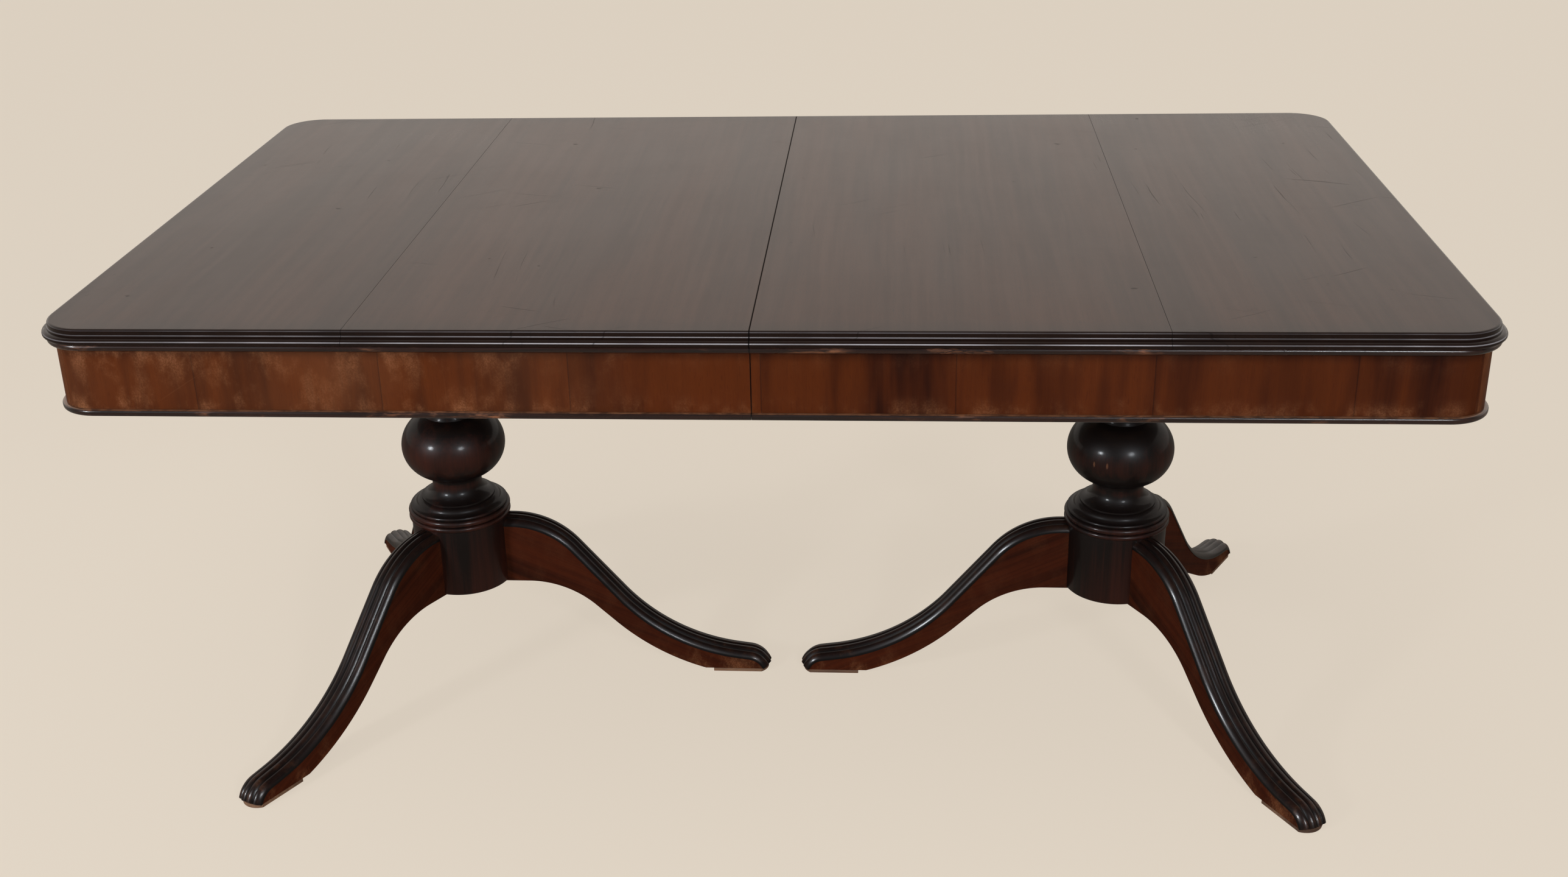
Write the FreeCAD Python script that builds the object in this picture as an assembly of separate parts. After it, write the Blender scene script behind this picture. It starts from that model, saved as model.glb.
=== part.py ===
import FreeCAD
import Part
import math
import os

# Double pedestal dining table that pulls apart in the middle for a leaf.
# Millimetres, +X along the table, +Y away from the front, +Z up.
# The origin lies on the floor under the middle of the closed table.

# Overall sizes
table_length = 1750.0
table_width = 1056.0
table_height = 760.0
corner_radius = 65.0
pedestal_share = 0.576
leaf_width = 460.0
centre_gap = 0.4
seam_inside_column = 18.0
seam_gap = 0.3

# Moulded edge of the top
lip_height = 7.5
lip_round = 3.4
lip_inset = 7.7
fillet_height = 2.5
fillet_round = 1.3
fillet_inset = 6.5
nose_height = 8.5
nose_share = 0.65
nose_flat = 0.2
edge_bead_height = 9.0
edge_bead_inset = 4.5
edge_bead_flat = 0.4

# Apron
apron_inset = 14.0
apron_height = 95.5
rail_thickness = 20.0
corner_block_depth = 32.0
apron_bead_height = 8.5
apron_bead_depth = 5.0
apron_bead_flat = 2.0
glue_block_size = 20.0
glue_block_length = 60.0
end_glue_block_inset = 200.0

# Cross battens and the block at the head of each column
batten_thickness = 22.0
batten_width = 70.0
batten_spread = 110.0
block_length = 320.0
block_width = 260.0
block_thickness = 36.0
block_chamfer = 25.0

# Turned column, from the drum up to the ball
drum_bottom = 158.0
drum_radius = 74.5
drum_height = 108.0
drum_edge = 3.0
lower_ring_height = 8.5
lower_ring_radius = 78.0
upper_ring_height = 10.0
upper_ring_radius = 78.0
collar_radius = 74.5
collar_height = 4.5
flare_radius = 64.5
flare_height = 4.0
ogee_height = 6.5
step_radius = 56.0
step_height = 2.5
cove_height = 14.0
neck_radius = 38.5
neck_height = 19.5
neck_waist = 1.5
ball_seat_radius = 40.0
ball_radius = 78.5
ball_height = 99.0

# Turned column, above the ball
upper_neck_radius = 37.0
upper_neck_height = 17.0
mid_ring_height = 13.0
mid_ring_radius = 49.0
shaft_foot_radius = 41.0
shaft_belly_radius = 47.0
shaft_belly_share = 0.27
shaft_head_radius = 35.0
head_ring_height = 11.0
head_ring_radius = 45.0
head_cove_height = 9.0
cap_radius = 60.0
cap_height = 14.0
tenon_radius = 24.0
tenon_length = 30.0
tenon_clearance = 0.2

# Sabre legs
leg_angle = 120.0
leg_width = 43.0
toe_gap = 46.0
shoulder_gap = 0.3
shoulder_level = 6.5
underside_level = 30.5
heel_from_toe = 92.0
heel_slope = 17.0
fall_steepness = 1.5
sweep_ratio = 2.32
toe_slope = 8.0
toe_length = 20.0
toe_radius = 28.0
toe_turn = 70.0
crown_width = 45.0
crown_rise = 9.5
crown_sink = 2.0
reed_count = 4
reed_bulge = 2.2
root_clearance = 0.1

# Sliding dovetail between leg and drum
dovetail_depth = 14.0
dovetail_neck = 16.0
dovetail_tail = 23.0
dovetail_top = 24.0
dovetail_clearance = 0.15

# Sole pads
pad_thickness = 6.0
pad_width = 41.0
pad_length = 86.0
pad_toe_inset = 3.0

# Iron plate under each column
plate_thickness = 3.0
plate_overlap = 26.0
plate_arm_width = 22.0
plate_hub_radius = 30.0
plate_screw_inset = 15.0
plate_screw_outset = 15.5

# Wooden slides
slide_width = 28.0
slide_height = 42.0
slide_share = 0.5872
slide_end_room = 62.0
slide_near_end = 6.0
slide_clearance = 0.4
runner_half_length = 420.0
tongue_depth = 9.0
tongue_neck = 12.0
tongue_tail = 18.0
groove_stop = 12.0

# Pegs that line up the two halves
peg_radius = 4.0
peg_length = 26.0
peg_spread = 350.0
peg_count = 3
peg_tight = 0.1
peg_loose = 0.4

# Table locks
lock_from_slide = 8.0
lock_pivot = 45.0
lock_stud = 45.0
lock_plate_length = 60.0
lock_plate_width = 36.0
keeper_length = 40.0
lock_plate_thickness = 2.5
lock_pin_radius = 4.0
lock_pin_head_radius = 7.0
lock_pin_head_height = 2.0
lever_thickness = 4.0
lever_half_width = 9.0
lever_hub_radius = 11.0
lever_tip = 12.0
lever_play = 0.4
lever_bore_play = 0.05
lever_slot_play = 0.6
lever_tab_drop = 12.0
lever_tab_thickness = 3.0
lock_screw_inset = 7.0

# Wood screws
screw_radius = 2.2
screw_head_radius = 4.2
screw_head_height = 2.6
screw_clearance = 0.1
batten_screw_grip = 12.0
batten_screw_inset = 70.0
batten_screw_from_block = 30.0
block_screw_grip = 14.0
block_screw_spread = 95.0
slide_screw_grip = 14.0
plate_screw_length = 24.0
lock_screw_length = 13.0

# Heights and places worked out from the sizes above
top_thickness = lip_height + fillet_height + nose_height
top_under = table_height - top_thickness
fillet_top = table_height - lip_height
nose_top = fillet_top - fillet_height
apron_bottom = top_under - apron_height
batten_under = top_under - batten_thickness
block_under = batten_under - block_thickness
column_x = pedestal_share * table_length / 2
seam_from_centre = column_x - seam_inside_column
half_gap = centre_gap / 2
corner_x = table_length / 2 - corner_radius
corner_y = table_width / 2 - corner_radius
rail_outer_x = table_length / 2 - apron_inset
rail_outer_y = table_width / 2 - apron_inset
rail_inner_x = rail_outer_x - rail_thickness
rail_inner_y = rail_outer_y - rail_thickness
batten_places = (column_x - batten_spread, column_x + batten_spread)
drum_top = drum_bottom + drum_height
shoulder_height = drum_top - crown_rise - reed_bulge - shoulder_gap
leg_root = drum_radius - dovetail_depth
leg_reach = column_x - toe_gap / 2 - crown_rise - reed_bulge
slide_far_end = rail_inner_x - glue_block_size - slide_end_room
slide_outer_face = slide_share * rail_inner_y
lever_reach = lock_pivot + lock_stud
lock_spread = slide_outer_face + lock_from_slide + lever_reach + lever_tip

level_tolerance = 1e-6

ORIGIN = FreeCAD.Vector(0, 0, 0)
X_AXIS = FreeCAD.Vector(1, 0, 0)
Y_AXIS = FreeCAD.Vector(0, 1, 0)
Z_AXIS = FreeCAD.Vector(0, 0, 1)


def vec(x, y, z):
    return FreeCAD.Vector(x, y, z)


def box(low, high):
    """Box between two corners."""
    size = [b - a for a, b in zip(low, high)]
    return Part.makeBox(size[0], size[1], size[2], vec(*low))


def prism(points, push):
    """Straight extrusion of a closed polygon."""
    wire = Part.makePolygon(points + points[:1])
    return Part.Face(wire).extrude(push)


def joined(shapes):
    """One solid out of shapes that run into each other."""
    body = shapes[0].multiFuse(shapes[1:]) if len(shapes) > 1 else shapes[0]
    return body.removeSplitter()


def drilled(shape, holes):
    """Shape with the holes taken out."""
    return shape.cut(Part.makeCompound(holes)) if holes else shape


def across(shape):
    """Mirror image on the other side of the middle of the table, left for right."""
    return shape.mirror(ORIGIN, X_AXIS)


def behind(shape):
    """Mirror image on the other long side of the table, back for front."""
    return shape.mirror(ORIGIN, Y_AXIS)


def slab(inset, z_low, z_high):
    """Round cornered slab that follows the table's outline, set in from its edge."""
    half_x = table_length / 2 - inset
    half_y = table_width / 2 - inset
    body = box((-half_x, -half_y, z_low), (half_x, half_y, z_high))
    uprights = []
    for edge in body.Edges:
        if edge.BoundBox.ZLength > level_tolerance:
            uprights.append(edge)
    return body.makeFillet(corner_radius - inset, uprights)


def rounded_rims(body, radius, heights):
    """Slab with its rims at the given heights rounded over."""
    rims = []
    for edge in body.Edges:
        for height in heights:
            bounds = edge.BoundBox
            if max(abs(bounds.ZMin - height), abs(bounds.ZMax - height)) < level_tolerance:
                rims.append(edge)
    return body.makeFillet(radius, rims)


def right_part(shape, x_low, x_high):
    """What lies between two planes across the right half of the table."""
    reach = table_width
    return shape.common(box((x_low, -reach, -reach), (x_high, reach, 2 * reach)))


# Top boards and mouldings

def top_slab():
    """Whole moulded top: a lip with a soft edge, a narrow fillet and a round nose."""
    lip = rounded_rims(slab(lip_inset, fillet_top, table_height), lip_round, [table_height])
    fillet = rounded_rims(slab(fillet_inset, nose_top, fillet_top), fillet_round, [fillet_top])
    nose_round = nose_height - nose_flat
    nose = rounded_rims(slab(0.0, top_under, nose_top), nose_share * nose_round, [nose_top])
    nose = rounded_rims(nose, (1 - nose_share) * nose_round, [top_under])
    return joined([lip, fillet, nose])


def edge_bead():
    """Bead strip under the nose, against the apron, for the right half."""
    low = top_under - edge_bead_height
    strip = slab(edge_bead_inset, low, top_under)
    strip = rounded_rims(strip, (edge_bead_height - edge_bead_flat) / 2, [low, top_under])
    strip = strip.cut(slab(apron_inset, low, top_under))
    return right_part(strip, half_gap, table_length)


def apron_bead():
    """Bead along the lower edge of the apron, for the right half."""
    high = apron_bottom + apron_bead_height
    strip = slab(apron_inset - apron_bead_depth, apron_bottom, high)
    strip = rounded_rims(strip, (apron_bead_height - apron_bead_flat) / 2, [apron_bottom, high])
    strip = strip.cut(slab(apron_inset, apron_bottom, high))
    return right_part(strip, half_gap, table_length)


def peg_places():
    """Distances of the pegs from the centre line of the table."""
    middle = (peg_count - 1) / 2
    return [(i - middle) * peg_spread for i in range(peg_count)]


def pegs(radius, length):
    """Round pegs lying across the middle of the table, half in each half."""
    height = (top_under + table_height) / 2
    rods = []
    for y in peg_places():
        rods.append(Part.makeCylinder(radius, length, vec(-length / 2, y, height), X_AXIS))
    return rods


# Apron

def front_rail():
    return box((half_gap, -rail_outer_y, apron_bottom), (corner_x, -rail_inner_y, top_under))


def end_rail():
    return box((rail_inner_x, -corner_y, apron_bottom), (rail_outer_x, corner_y, top_under))


def front_corner():
    """Corner block between front and end rail, round outside and cut off inside."""
    radius = corner_radius - apron_inset
    middle = math.sqrt(0.5) * radius
    start = vec(corner_x, -rail_outer_y, apron_bottom)
    bend = vec(corner_x + middle, -corner_y - middle, apron_bottom)
    stop = vec(rail_outer_x, -corner_y, apron_bottom)
    inner_stop = vec(rail_outer_x - corner_block_depth, -corner_y, apron_bottom)
    inner_start = vec(corner_x, -rail_outer_y + corner_block_depth, apron_bottom)
    edges = [
        Part.Arc(start, bend, stop).toShape(),
        Part.LineSegment(stop, inner_stop).toShape(),
        Part.LineSegment(inner_stop, inner_start).toShape(),
        Part.LineSegment(inner_start, start).toShape(),
    ]
    return Part.Face(Part.Wire(edges)).extrude(Z_AXIS * apron_height)


def glue_blocks():
    """Blocks behind the rails of the right half, one between each pair of neighbours."""
    low = top_under - glue_block_size
    half = glue_block_length / 2
    inner_edge = batten_places[0] - batten_width / 2
    outer_edge = batten_places[1] + batten_width / 2
    blocks = []
    for x in (inner_edge / 2, column_x, (outer_edge + corner_x) / 2):
        front = box((x - half, -rail_inner_y, low), (x + half, glue_block_size - rail_inner_y, top_under))
        blocks.append(front)
        blocks.append(behind(front))
    end_spread = corner_y - end_glue_block_inset
    start = rail_inner_x - glue_block_size
    for y in (-end_spread, 0.0, end_spread):
        blocks.append(box((start, y - half, low), (rail_inner_x, y + half, top_under)))
    return Part.makeCompound(blocks)


# Screws

def screw(place, up, length, slack):
    """Countersunk wood screw whose head lies flush at the place and points along up."""
    shank = Part.makeCylinder(screw_radius + slack, length + slack, place, up)
    head = Part.makeCone(screw_head_radius + slack, screw_radius + slack, screw_head_height, place, up)
    return joined([shank, head])


def screw_set(places, length, slack):
    """Upright screws driven up from below at each place."""
    return [screw(vec(*place), Z_AXIS, length, slack) for place in places]


def batten_screw_places(x):
    places = []
    for spread in (block_width / 2 + batten_screw_from_block, rail_inner_y - batten_screw_inset):
        places.append((x, -spread, batten_under))
        places.append((x, spread, batten_under))
    return places


def block_screw_places():
    places = []
    for x in batten_places:
        places.append((x, -block_screw_spread, block_under))
        places.append((x, block_screw_spread, block_under))
    return places


def slide_screw_places(y):
    low = batten_under - slide_height
    return [(x, side * y, low) for x in batten_places for side in (-1, 1)]


def frame_screws(slack):
    """Screws of one half that hold battens to boards and the block to the battens."""
    screws = []
    for x in batten_places:
        screws += screw_set(batten_screw_places(x), batten_thickness + batten_screw_grip, slack)
    screws += screw_set(block_screw_places(), block_thickness + block_screw_grip, slack)
    return screws


def slide_screws(y, slack):
    """Screws of one half that hold its two slide members to the battens."""
    return screw_set(slide_screw_places(y), slide_height + slide_screw_grip, slack)


# Battens and column head block

def batten(x, slide_y):
    """Cross batten under the boards, drilled for the screws that meet it."""
    half = batten_width / 2
    body = box((x - half, -rail_inner_y, batten_under), (x + half, rail_inner_y, top_under))
    return drilled(body, frame_screws(screw_clearance) + slide_screws(slide_y, screw_clearance))


def head_block():
    """Thick block with cut corners and a round mortise for the column's tenon."""
    a = block_length / 2
    b = block_width / 2
    c = block_chamfer
    right = [(a - c, -b), (a, c - b), (a, b - c), (a - c, b)]
    left = [(-x, -y) for x, y in right]
    points = [vec(column_x + x, y, block_under) for x, y in right + left]
    body = prism(points, Z_AXIS * block_thickness)
    foot = vec(column_x, 0, block_under)
    mortise = Part.makeCylinder(tenon_radius + tenon_clearance, block_thickness, foot)
    return drilled(body, [mortise] + frame_screws(screw_clearance))


# Turned column

class Turning:
    """Half outline of a turned piece, drawn upwards and then spun about its axis."""

    def __init__(self, radius, height):
        self.radius = radius
        self.height = height
        self.edges = []
        self.line(radius, height, start=(0.0, height))

    def point(self, radius, height):
        return vec(radius, 0, height)

    def line(self, radius, height, start=None):
        first = start or (self.radius, self.height)
        self.edges.append(Part.LineSegment(self.point(*first), self.point(radius, height)).toShape())
        self.radius = radius
        self.height = height

    def rise(self, height):
        self.line(self.radius, self.height + height)

    def step_to(self, radius):
        self.line(radius, self.height)

    def curve(self, radius, rise, bulge):
        """Arc to a point higher up; a positive bulge swells outwards from the chord."""
        start = (self.radius, self.height)
        stop = (radius, self.height + rise)
        chord = math.hypot(stop[0] - start[0], rise)
        out = (rise / chord, (start[0] - stop[0]) / chord)
        middle = [(start[i] + stop[i]) / 2 + bulge * out[i] for i in (0, 1)]
        arc = Part.Arc(self.point(*start), self.point(*middle), self.point(*stop))
        self.edges.append(arc.toShape())
        self.radius, self.height = stop

    def ring(self, radius, height):
        """Half round ring of the given widest radius."""
        self.step_to(radius - height / 2)
        self.curve(self.radius, height, height / 2)

    def solid(self):
        top = self.height
        self.line(0.0, top)
        first = self.edges[0].Vertexes[0].Point
        self.edges.append(Part.LineSegment(self.point(0.0, top), first).toShape())
        return Part.Face(Part.Wire(self.edges)).revolve(ORIGIN, Z_AXIS, 360)


def dovetail(slack):
    """Dovetail bar on the +X side of a drum, from its bottom face upwards."""
    root = drum_radius + root_clearance
    tip = leg_root - slack
    neck = dovetail_neck / 2 + slack
    tail = dovetail_tail / 2 + slack
    points = [
        vec(root, -neck, drum_bottom),
        vec(root, neck, drum_bottom),
        vec(tip, tail, drum_bottom),
        vec(tip, -tail, drum_bottom),
    ]
    return prism(points, Z_AXIS * (drum_height - dovetail_top + slack))


def turned_column():
    """Column on the Z axis with its rings, ball, shaft and tenon."""
    t = Turning(drum_radius - drum_edge, drum_bottom)
    t.curve(drum_radius, drum_edge, drum_edge * (1 - math.sqrt(0.5)) / 2)
    t.rise(drum_height - drum_edge)
    t.ring(lower_ring_radius, lower_ring_height)
    t.ring(upper_ring_radius, upper_ring_height)
    t.step_to(collar_radius - collar_height / 4)
    t.curve(collar_radius - collar_height / 4, collar_height, collar_height / 4)
    t.curve(flare_radius, flare_height, -flare_height / 4)
    t.curve(step_radius, ogee_height, ogee_height / 4)
    t.rise(step_height)
    t.curve(neck_radius, cove_height, -cove_height / 4)
    t.curve(ball_seat_radius, neck_height, -neck_waist)
    t.curve(ball_seat_radius, ball_height, ball_radius - ball_seat_radius)
    t.curve(upper_neck_radius, upper_neck_height, -neck_waist)
    t.ring(mid_ring_radius, mid_ring_height)
    t.step_to(shaft_foot_radius)
    head_low = block_under - cap_height - head_cove_height - head_ring_height
    t.curve(shaft_belly_radius, shaft_belly_share * (head_low - t.height), neck_waist)
    t.curve(shaft_head_radius, head_low - t.height, neck_waist)
    t.ring(head_ring_radius, head_ring_height)
    t.curve(cap_radius, head_cove_height, -head_cove_height / 4)
    t.rise(cap_height)
    t.step_to(tenon_radius)
    t.rise(tenon_length)
    return t.solid()


def leg_turns():
    """Turns of the inner, front and back leg of the right column about its axis."""
    return [180.0, 180.0 + leg_angle, 180.0 - leg_angle]


def turned(shape, turn):
    """Copy turned about the Z axis."""
    copy = shape.copy()
    copy.rotate(ORIGIN, Z_AXIS, turn)
    return copy


def on_right(shape):
    """Copy moved from the Z axis to the right column's axis."""
    copy = shape.copy()
    copy.translate(vec(column_x, 0, 0))
    return copy


def column():
    """Right column with its three sockets and the plate's screw holes."""
    body = turned_column()
    cuts = [turned(dovetail(dovetail_clearance), turn) for turn in leg_turns()]
    cuts += plate_screws(screw_clearance)
    return on_right(drilled(body, cuts))


# Sabre legs

class Path:
    """Smooth path of straights and arcs in the upright plane of a leg."""

    def __init__(self, start, slope):
        self.place = start
        self.slope = slope
        self.edges = []

    def at(self, place):
        return vec(place[0], 0, place[1])

    def straight(self, length):
        stop = (
            self.place[0] + length * math.cos(self.slope),
            self.place[1] - length * math.sin(self.slope),
        )
        self.edges.append(Part.LineSegment(self.at(self.place), self.at(stop)).toShape())
        self.place = stop

    def bend(self, radius, slope):
        """Arc to another downward slope, over the crest or into the hollow."""
        side = 1.0 if slope > self.slope else -1.0
        centre = (
            self.place[0] - side * radius * math.sin(self.slope),
            self.place[1] - side * radius * math.cos(self.slope),
        )
        points = []
        for angle in (self.slope, (self.slope + slope) / 2, slope):
            x = centre[0] + side * radius * math.sin(angle)
            z = centre[1] + side * radius * math.cos(angle)
            points.append((x, z))
        self.edges.append(Part.Arc(*[self.at(p) for p in points]).toShape())
        self.place = points[-1]
        self.slope = slope

    def sweep_down(self, stop, slope):
        """Crest, straight fall and hollow that end at a point with the given slope."""
        run = stop[0] - self.place[0]
        drop = self.place[1] - stop[1]
        fall = fall_steepness * math.atan2(drop, run)
        run_turn = math.sin(fall) + sweep_ratio * (math.sin(fall) - math.sin(slope))
        drop_turn = 1 - math.cos(fall) + sweep_ratio * (math.cos(slope) - math.cos(fall))
        scale = run_turn * math.sin(fall) - drop_turn * math.cos(fall)
        radius = (run * math.sin(fall) - drop * math.cos(fall)) / scale
        length = (run_turn * drop - drop_turn * run) / scale
        self.bend(radius, fall)
        self.straight(length)
        self.bend(sweep_ratio * radius, slope)


def leg_crest():
    """Path along the upper edge of a leg's side faces, from inside the drum to the toe."""
    slope = math.radians(toe_slope)
    turn = math.radians(toe_turn)
    toe_start = (
        leg_reach - toe_radius * (math.sin(turn) - math.sin(slope)),
        pad_thickness + toe_radius * (math.cos(slope) - math.cos(turn)),
    )
    hollow_stop = (
        toe_start[0] - toe_length * math.cos(slope),
        toe_start[1] + toe_length * math.sin(slope),
    )
    path = Path((leg_root, shoulder_height), 0.0)
    path.straight(drum_radius + shoulder_level - leg_root)
    path.sweep_down(hollow_stop, slope)
    path.straight(toe_length)
    path.bend(toe_radius, turn)
    return path


def leg_underside():
    """Path along the lower edge of a leg's side faces, down to the heel."""
    path = Path((leg_root, drum_bottom), 0.0)
    path.straight(drum_radius + underside_level - leg_root)
    path.sweep_down((leg_reach - heel_from_toe, pad_thickness), math.radians(heel_slope))
    return path


def crown_section():
    """Reeded section of the leg's top, arched across its width, at the start of the path."""
    half = crown_width / 2
    arch = (half ** 2 + crown_rise ** 2) / (2 * crown_rise)

    def arch_height(y):
        return math.sqrt(arch ** 2 - y ** 2) - arch + crown_rise

    def at(y, rise):
        return vec(leg_root, y, shoulder_height + rise)

    stops = [-half + i * crown_width / reed_count for i in range(reed_count + 1)]
    edges = [
        Part.LineSegment(at(half, 0), at(half, -crown_sink)).toShape(),
        Part.LineSegment(at(half, -crown_sink), at(-half, -crown_sink)).toShape(),
        Part.LineSegment(at(-half, -crown_sink), at(-half, 0)).toShape(),
    ]
    for y0, y1 in zip(stops[:-1], stops[1:]):
        z0 = arch_height(y0)
        z1 = arch_height(y1)
        chord = math.hypot(y1 - y0, z1 - z0)
        mid_y = (y0 + y1) / 2 - reed_bulge * (z1 - z0) / chord
        mid_z = (z0 + z1) / 2 + reed_bulge * (y1 - y0) / chord
        edges.append(Part.Arc(at(y0, z0), at(mid_y, mid_z), at(y1, z1)).toShape())
    return Part.Wire(Part.__sortEdges__(edges))


def sabre_leg():
    """Leg on the +X side of a column: flat sides, reeded crown and a dovetail tenon."""
    crest = leg_crest()
    under = leg_underside()
    toe = crest.at(crest.place)
    heel = under.at(under.place)
    closing = [
        Part.LineSegment(toe, heel).toShape(),
        Part.LineSegment(under.at((leg_root, drum_bottom)), crest.at((leg_root, shoulder_height))).toShape(),
    ]
    outline = Part.Wire(Part.__sortEdges__(crest.edges + under.edges + closing))
    side = Part.Face(outline).extrude(Y_AXIS * leg_width)
    side.translate(Y_AXIS * (-leg_width / 2))
    spine = Part.Wire(crest.edges)
    crown = spine.makePipeShell([crown_section()], True, False)
    body = joined([side, crown])
    below_sole = box((0, -leg_width, -leg_reach), (2 * leg_reach, leg_width, pad_thickness))
    drum = Part.makeCylinder(drum_radius + root_clearance, table_height)
    body = joined([body.cut(below_sole).cut(drum), dovetail(0.0)])
    return drilled(body, arm_screws(screw_clearance))


def sole_pad():
    """Thin pad under the toe of the leg on the +X side, round at the toe."""
    stop = leg_reach + crown_rise - pad_toe_inset
    start = stop - pad_length
    half = pad_width / 2
    shoulder = stop - half / 2
    corners = [vec(start, -half, 0), vec(shoulder, -half, 0), vec(shoulder, half, 0), vec(start, half, 0)]
    edges = [
        Part.LineSegment(corners[3], corners[0]).toShape(),
        Part.LineSegment(corners[0], corners[1]).toShape(),
        Part.Arc(corners[1], vec(stop, 0, 0), corners[2]).toShape(),
        Part.LineSegment(corners[2], corners[3]).toShape(),
    ]
    return Part.Face(Part.Wire(edges)).extrude(Z_AXIS * pad_thickness)


# Iron plate under the column

def arm_screws(slack):
    """Screws of the plate's +X arm, one up into the drum and one up into the leg."""
    low = drum_bottom - plate_thickness
    places = [(leg_root - plate_screw_inset, 0, low), (drum_radius + plate_screw_outset, 0, low)]
    return screw_set(places, plate_screw_length, slack)


def plate_screws(slack):
    """Screws of all three arms, for a column on the Z axis."""
    return [turned(one, turn) for turn in leg_turns() for one in arm_screws(slack)]


def tripod_plate():
    """Three armed iron plate that ties the legs to the drum."""
    low = drum_bottom - plate_thickness
    half = plate_arm_width / 2
    arm = box((0, -half, low), (drum_radius + plate_overlap, half, drum_bottom))
    hub = Part.makeCylinder(plate_hub_radius, plate_thickness, vec(0, 0, low))
    body = joined([hub] + [turned(arm, turn) for turn in leg_turns()])
    return on_right(drilled(body, plate_screws(screw_clearance)))


# Wooden slides

def lane(number):
    """Outer and inner distance from the centre line of a member; 0 lies nearest the rail."""
    outer = slide_outer_face - number * (slide_width + slide_clearance)
    return outer, outer - slide_width


def lane_middle(number):
    return sum(lane(number)) / 2


def tongue(x_low, x_high, face, side, slack):
    """Dovetailed tongue that stands out of a slide's side face at y = face."""
    middle = batten_under - slide_height / 2
    neck = tongue_neck / 2 + slack
    tail = tongue_tail / 2 + slack
    tip = face + side * (tongue_depth + slack)
    points = [
        vec(x_low, face, middle - neck),
        vec(x_low, tip, middle - tail),
        vec(x_low, tip, middle + tail),
        vec(x_low, face, middle + neck),
    ]
    return prism(points, X_AXIS * (x_high - x_low))


def left_member():
    """Front slide member on the left half, grooved on its inner side."""
    outer, inner = lane(0)
    low = batten_under - slide_height
    body = box((-slide_far_end, -outer, low), (-slide_near_end, -inner, batten_under))
    groove = tongue(-slide_far_end, -groove_stop, -inner, -1, slide_clearance)
    screws = [across(s) for s in slide_screws(lane_middle(0), screw_clearance)]
    return drilled(body, [groove] + screws)


def right_member():
    """Front slide member on the right half, grooved on its outer side."""
    outer, inner = lane(2)
    low = batten_under - slide_height
    body = box((slide_near_end, -outer, low), (slide_far_end, -inner, batten_under))
    groove = tongue(groove_stop, slide_far_end, -outer, 1, slide_clearance)
    return drilled(body, [groove] + slide_screws(lane_middle(2), screw_clearance))


def runner():
    """Front loose runner with a tongue towards each member; the groove ends stop it."""
    outer, inner = lane(1)
    low = batten_under - slide_height + slide_clearance
    high = batten_under - slide_clearance
    body = box((-runner_half_length, -outer, low), (runner_half_length, -inner, high))
    tongue_end = groove_stop + leaf_width / 2 + slide_clearance
    left = tongue(-runner_half_length, -tongue_end, -outer, -1, 0.0)
    right = tongue(tongue_end, runner_half_length, -inner, 1, 0.0)
    return joined([body, left, right])


# Table locks

def lock_levels():
    """Underside of the lock plates, top of the lever and underside of the lever."""
    plate_low = top_under - lock_plate_thickness
    lever_high = plate_low - lever_play
    return plate_low, lever_high, lever_high - lever_thickness


def headed_pin(x, y):
    """Pin that hangs from a lock plate, with a head under the lever."""
    plate_low, lever_high, lever_low = lock_levels()
    head_high = lever_low - lever_play
    shank = Part.makeCylinder(lock_pin_radius, top_under - head_high, vec(x, y, head_high))
    head_low = vec(x, y, head_high - lock_pin_head_height)
    return joined([shank, Part.makeCylinder(lock_pin_head_radius, lock_pin_head_height, head_low)])


def lock_screw_places(x, length):
    """Screws near the corners of a lock plate centred on x at the front."""
    plate_low = lock_levels()[0]
    dx = length / 2 - lock_screw_inset
    dy = lock_plate_width / 2 - lock_screw_inset
    return [(x + i * dx, -lock_spread + j * dy, plate_low) for i in (-1, 1) for j in (-1, 1)]


def lock_screws(x, length, slack):
    front = screw_set(lock_screw_places(x, length), lock_screw_length, slack)
    return front + [behind(s) for s in front]


def lock_plate(x, length):
    """Screwed plate with its pin at x, at the front of the table."""
    plate_low = lock_levels()[0]
    half = lock_plate_width / 2
    low = (x - length / 2, -lock_spread - half, plate_low)
    high = (x + length / 2, -lock_spread + half, top_under)
    body = joined([box(low, high), headed_pin(x, -lock_spread)])
    return drilled(body, lock_screws(x, length, screw_clearance))


def lock_lever():
    """Front lever at rest, turned away from the keeper and along the middle of the table."""
    plate_low, lever_high, lever_low = lock_levels()
    slot = lock_pin_radius + lever_slot_play
    end = lever_reach + lever_tip
    arm = box((0, -lever_half_width, lever_low), (end, lever_half_width, lever_high))
    hub = Part.makeCylinder(lever_hub_radius, lever_thickness, vec(0, 0, lever_low))
    tab_low = (end - lever_tab_thickness, -lever_half_width, lever_low - lever_tab_drop)
    tab = box(tab_low, (end, lever_half_width, lever_high))
    bore = Part.makeCylinder(lock_pin_radius + lever_bore_play, lever_thickness, vec(0, 0, lever_low))
    slot_end = Part.makeCylinder(slot, lever_thickness, vec(lever_reach, 0, lever_low))
    way_low = (lever_reach - slot, -2 * lever_half_width, lever_low)
    slot_way = box(way_low, (lever_reach + slot, 0, lever_high))
    body = joined([hub, arm, tab]).cut(bore).cut(slot_end).cut(slot_way)
    body = turned(body, 90.0)
    body.translate(vec(-lock_pivot, -lock_spread, 0))
    return body


def both_sides(shape):
    """Compound of a front piece and its mirror image at the back."""
    return Part.makeCompound([shape, behind(shape)])


# Boards, cut from the moulded top and drilled

def board(x_low, x_high, holes):
    return drilled(right_part(top_slab(), x_low, x_high), holes)


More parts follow.
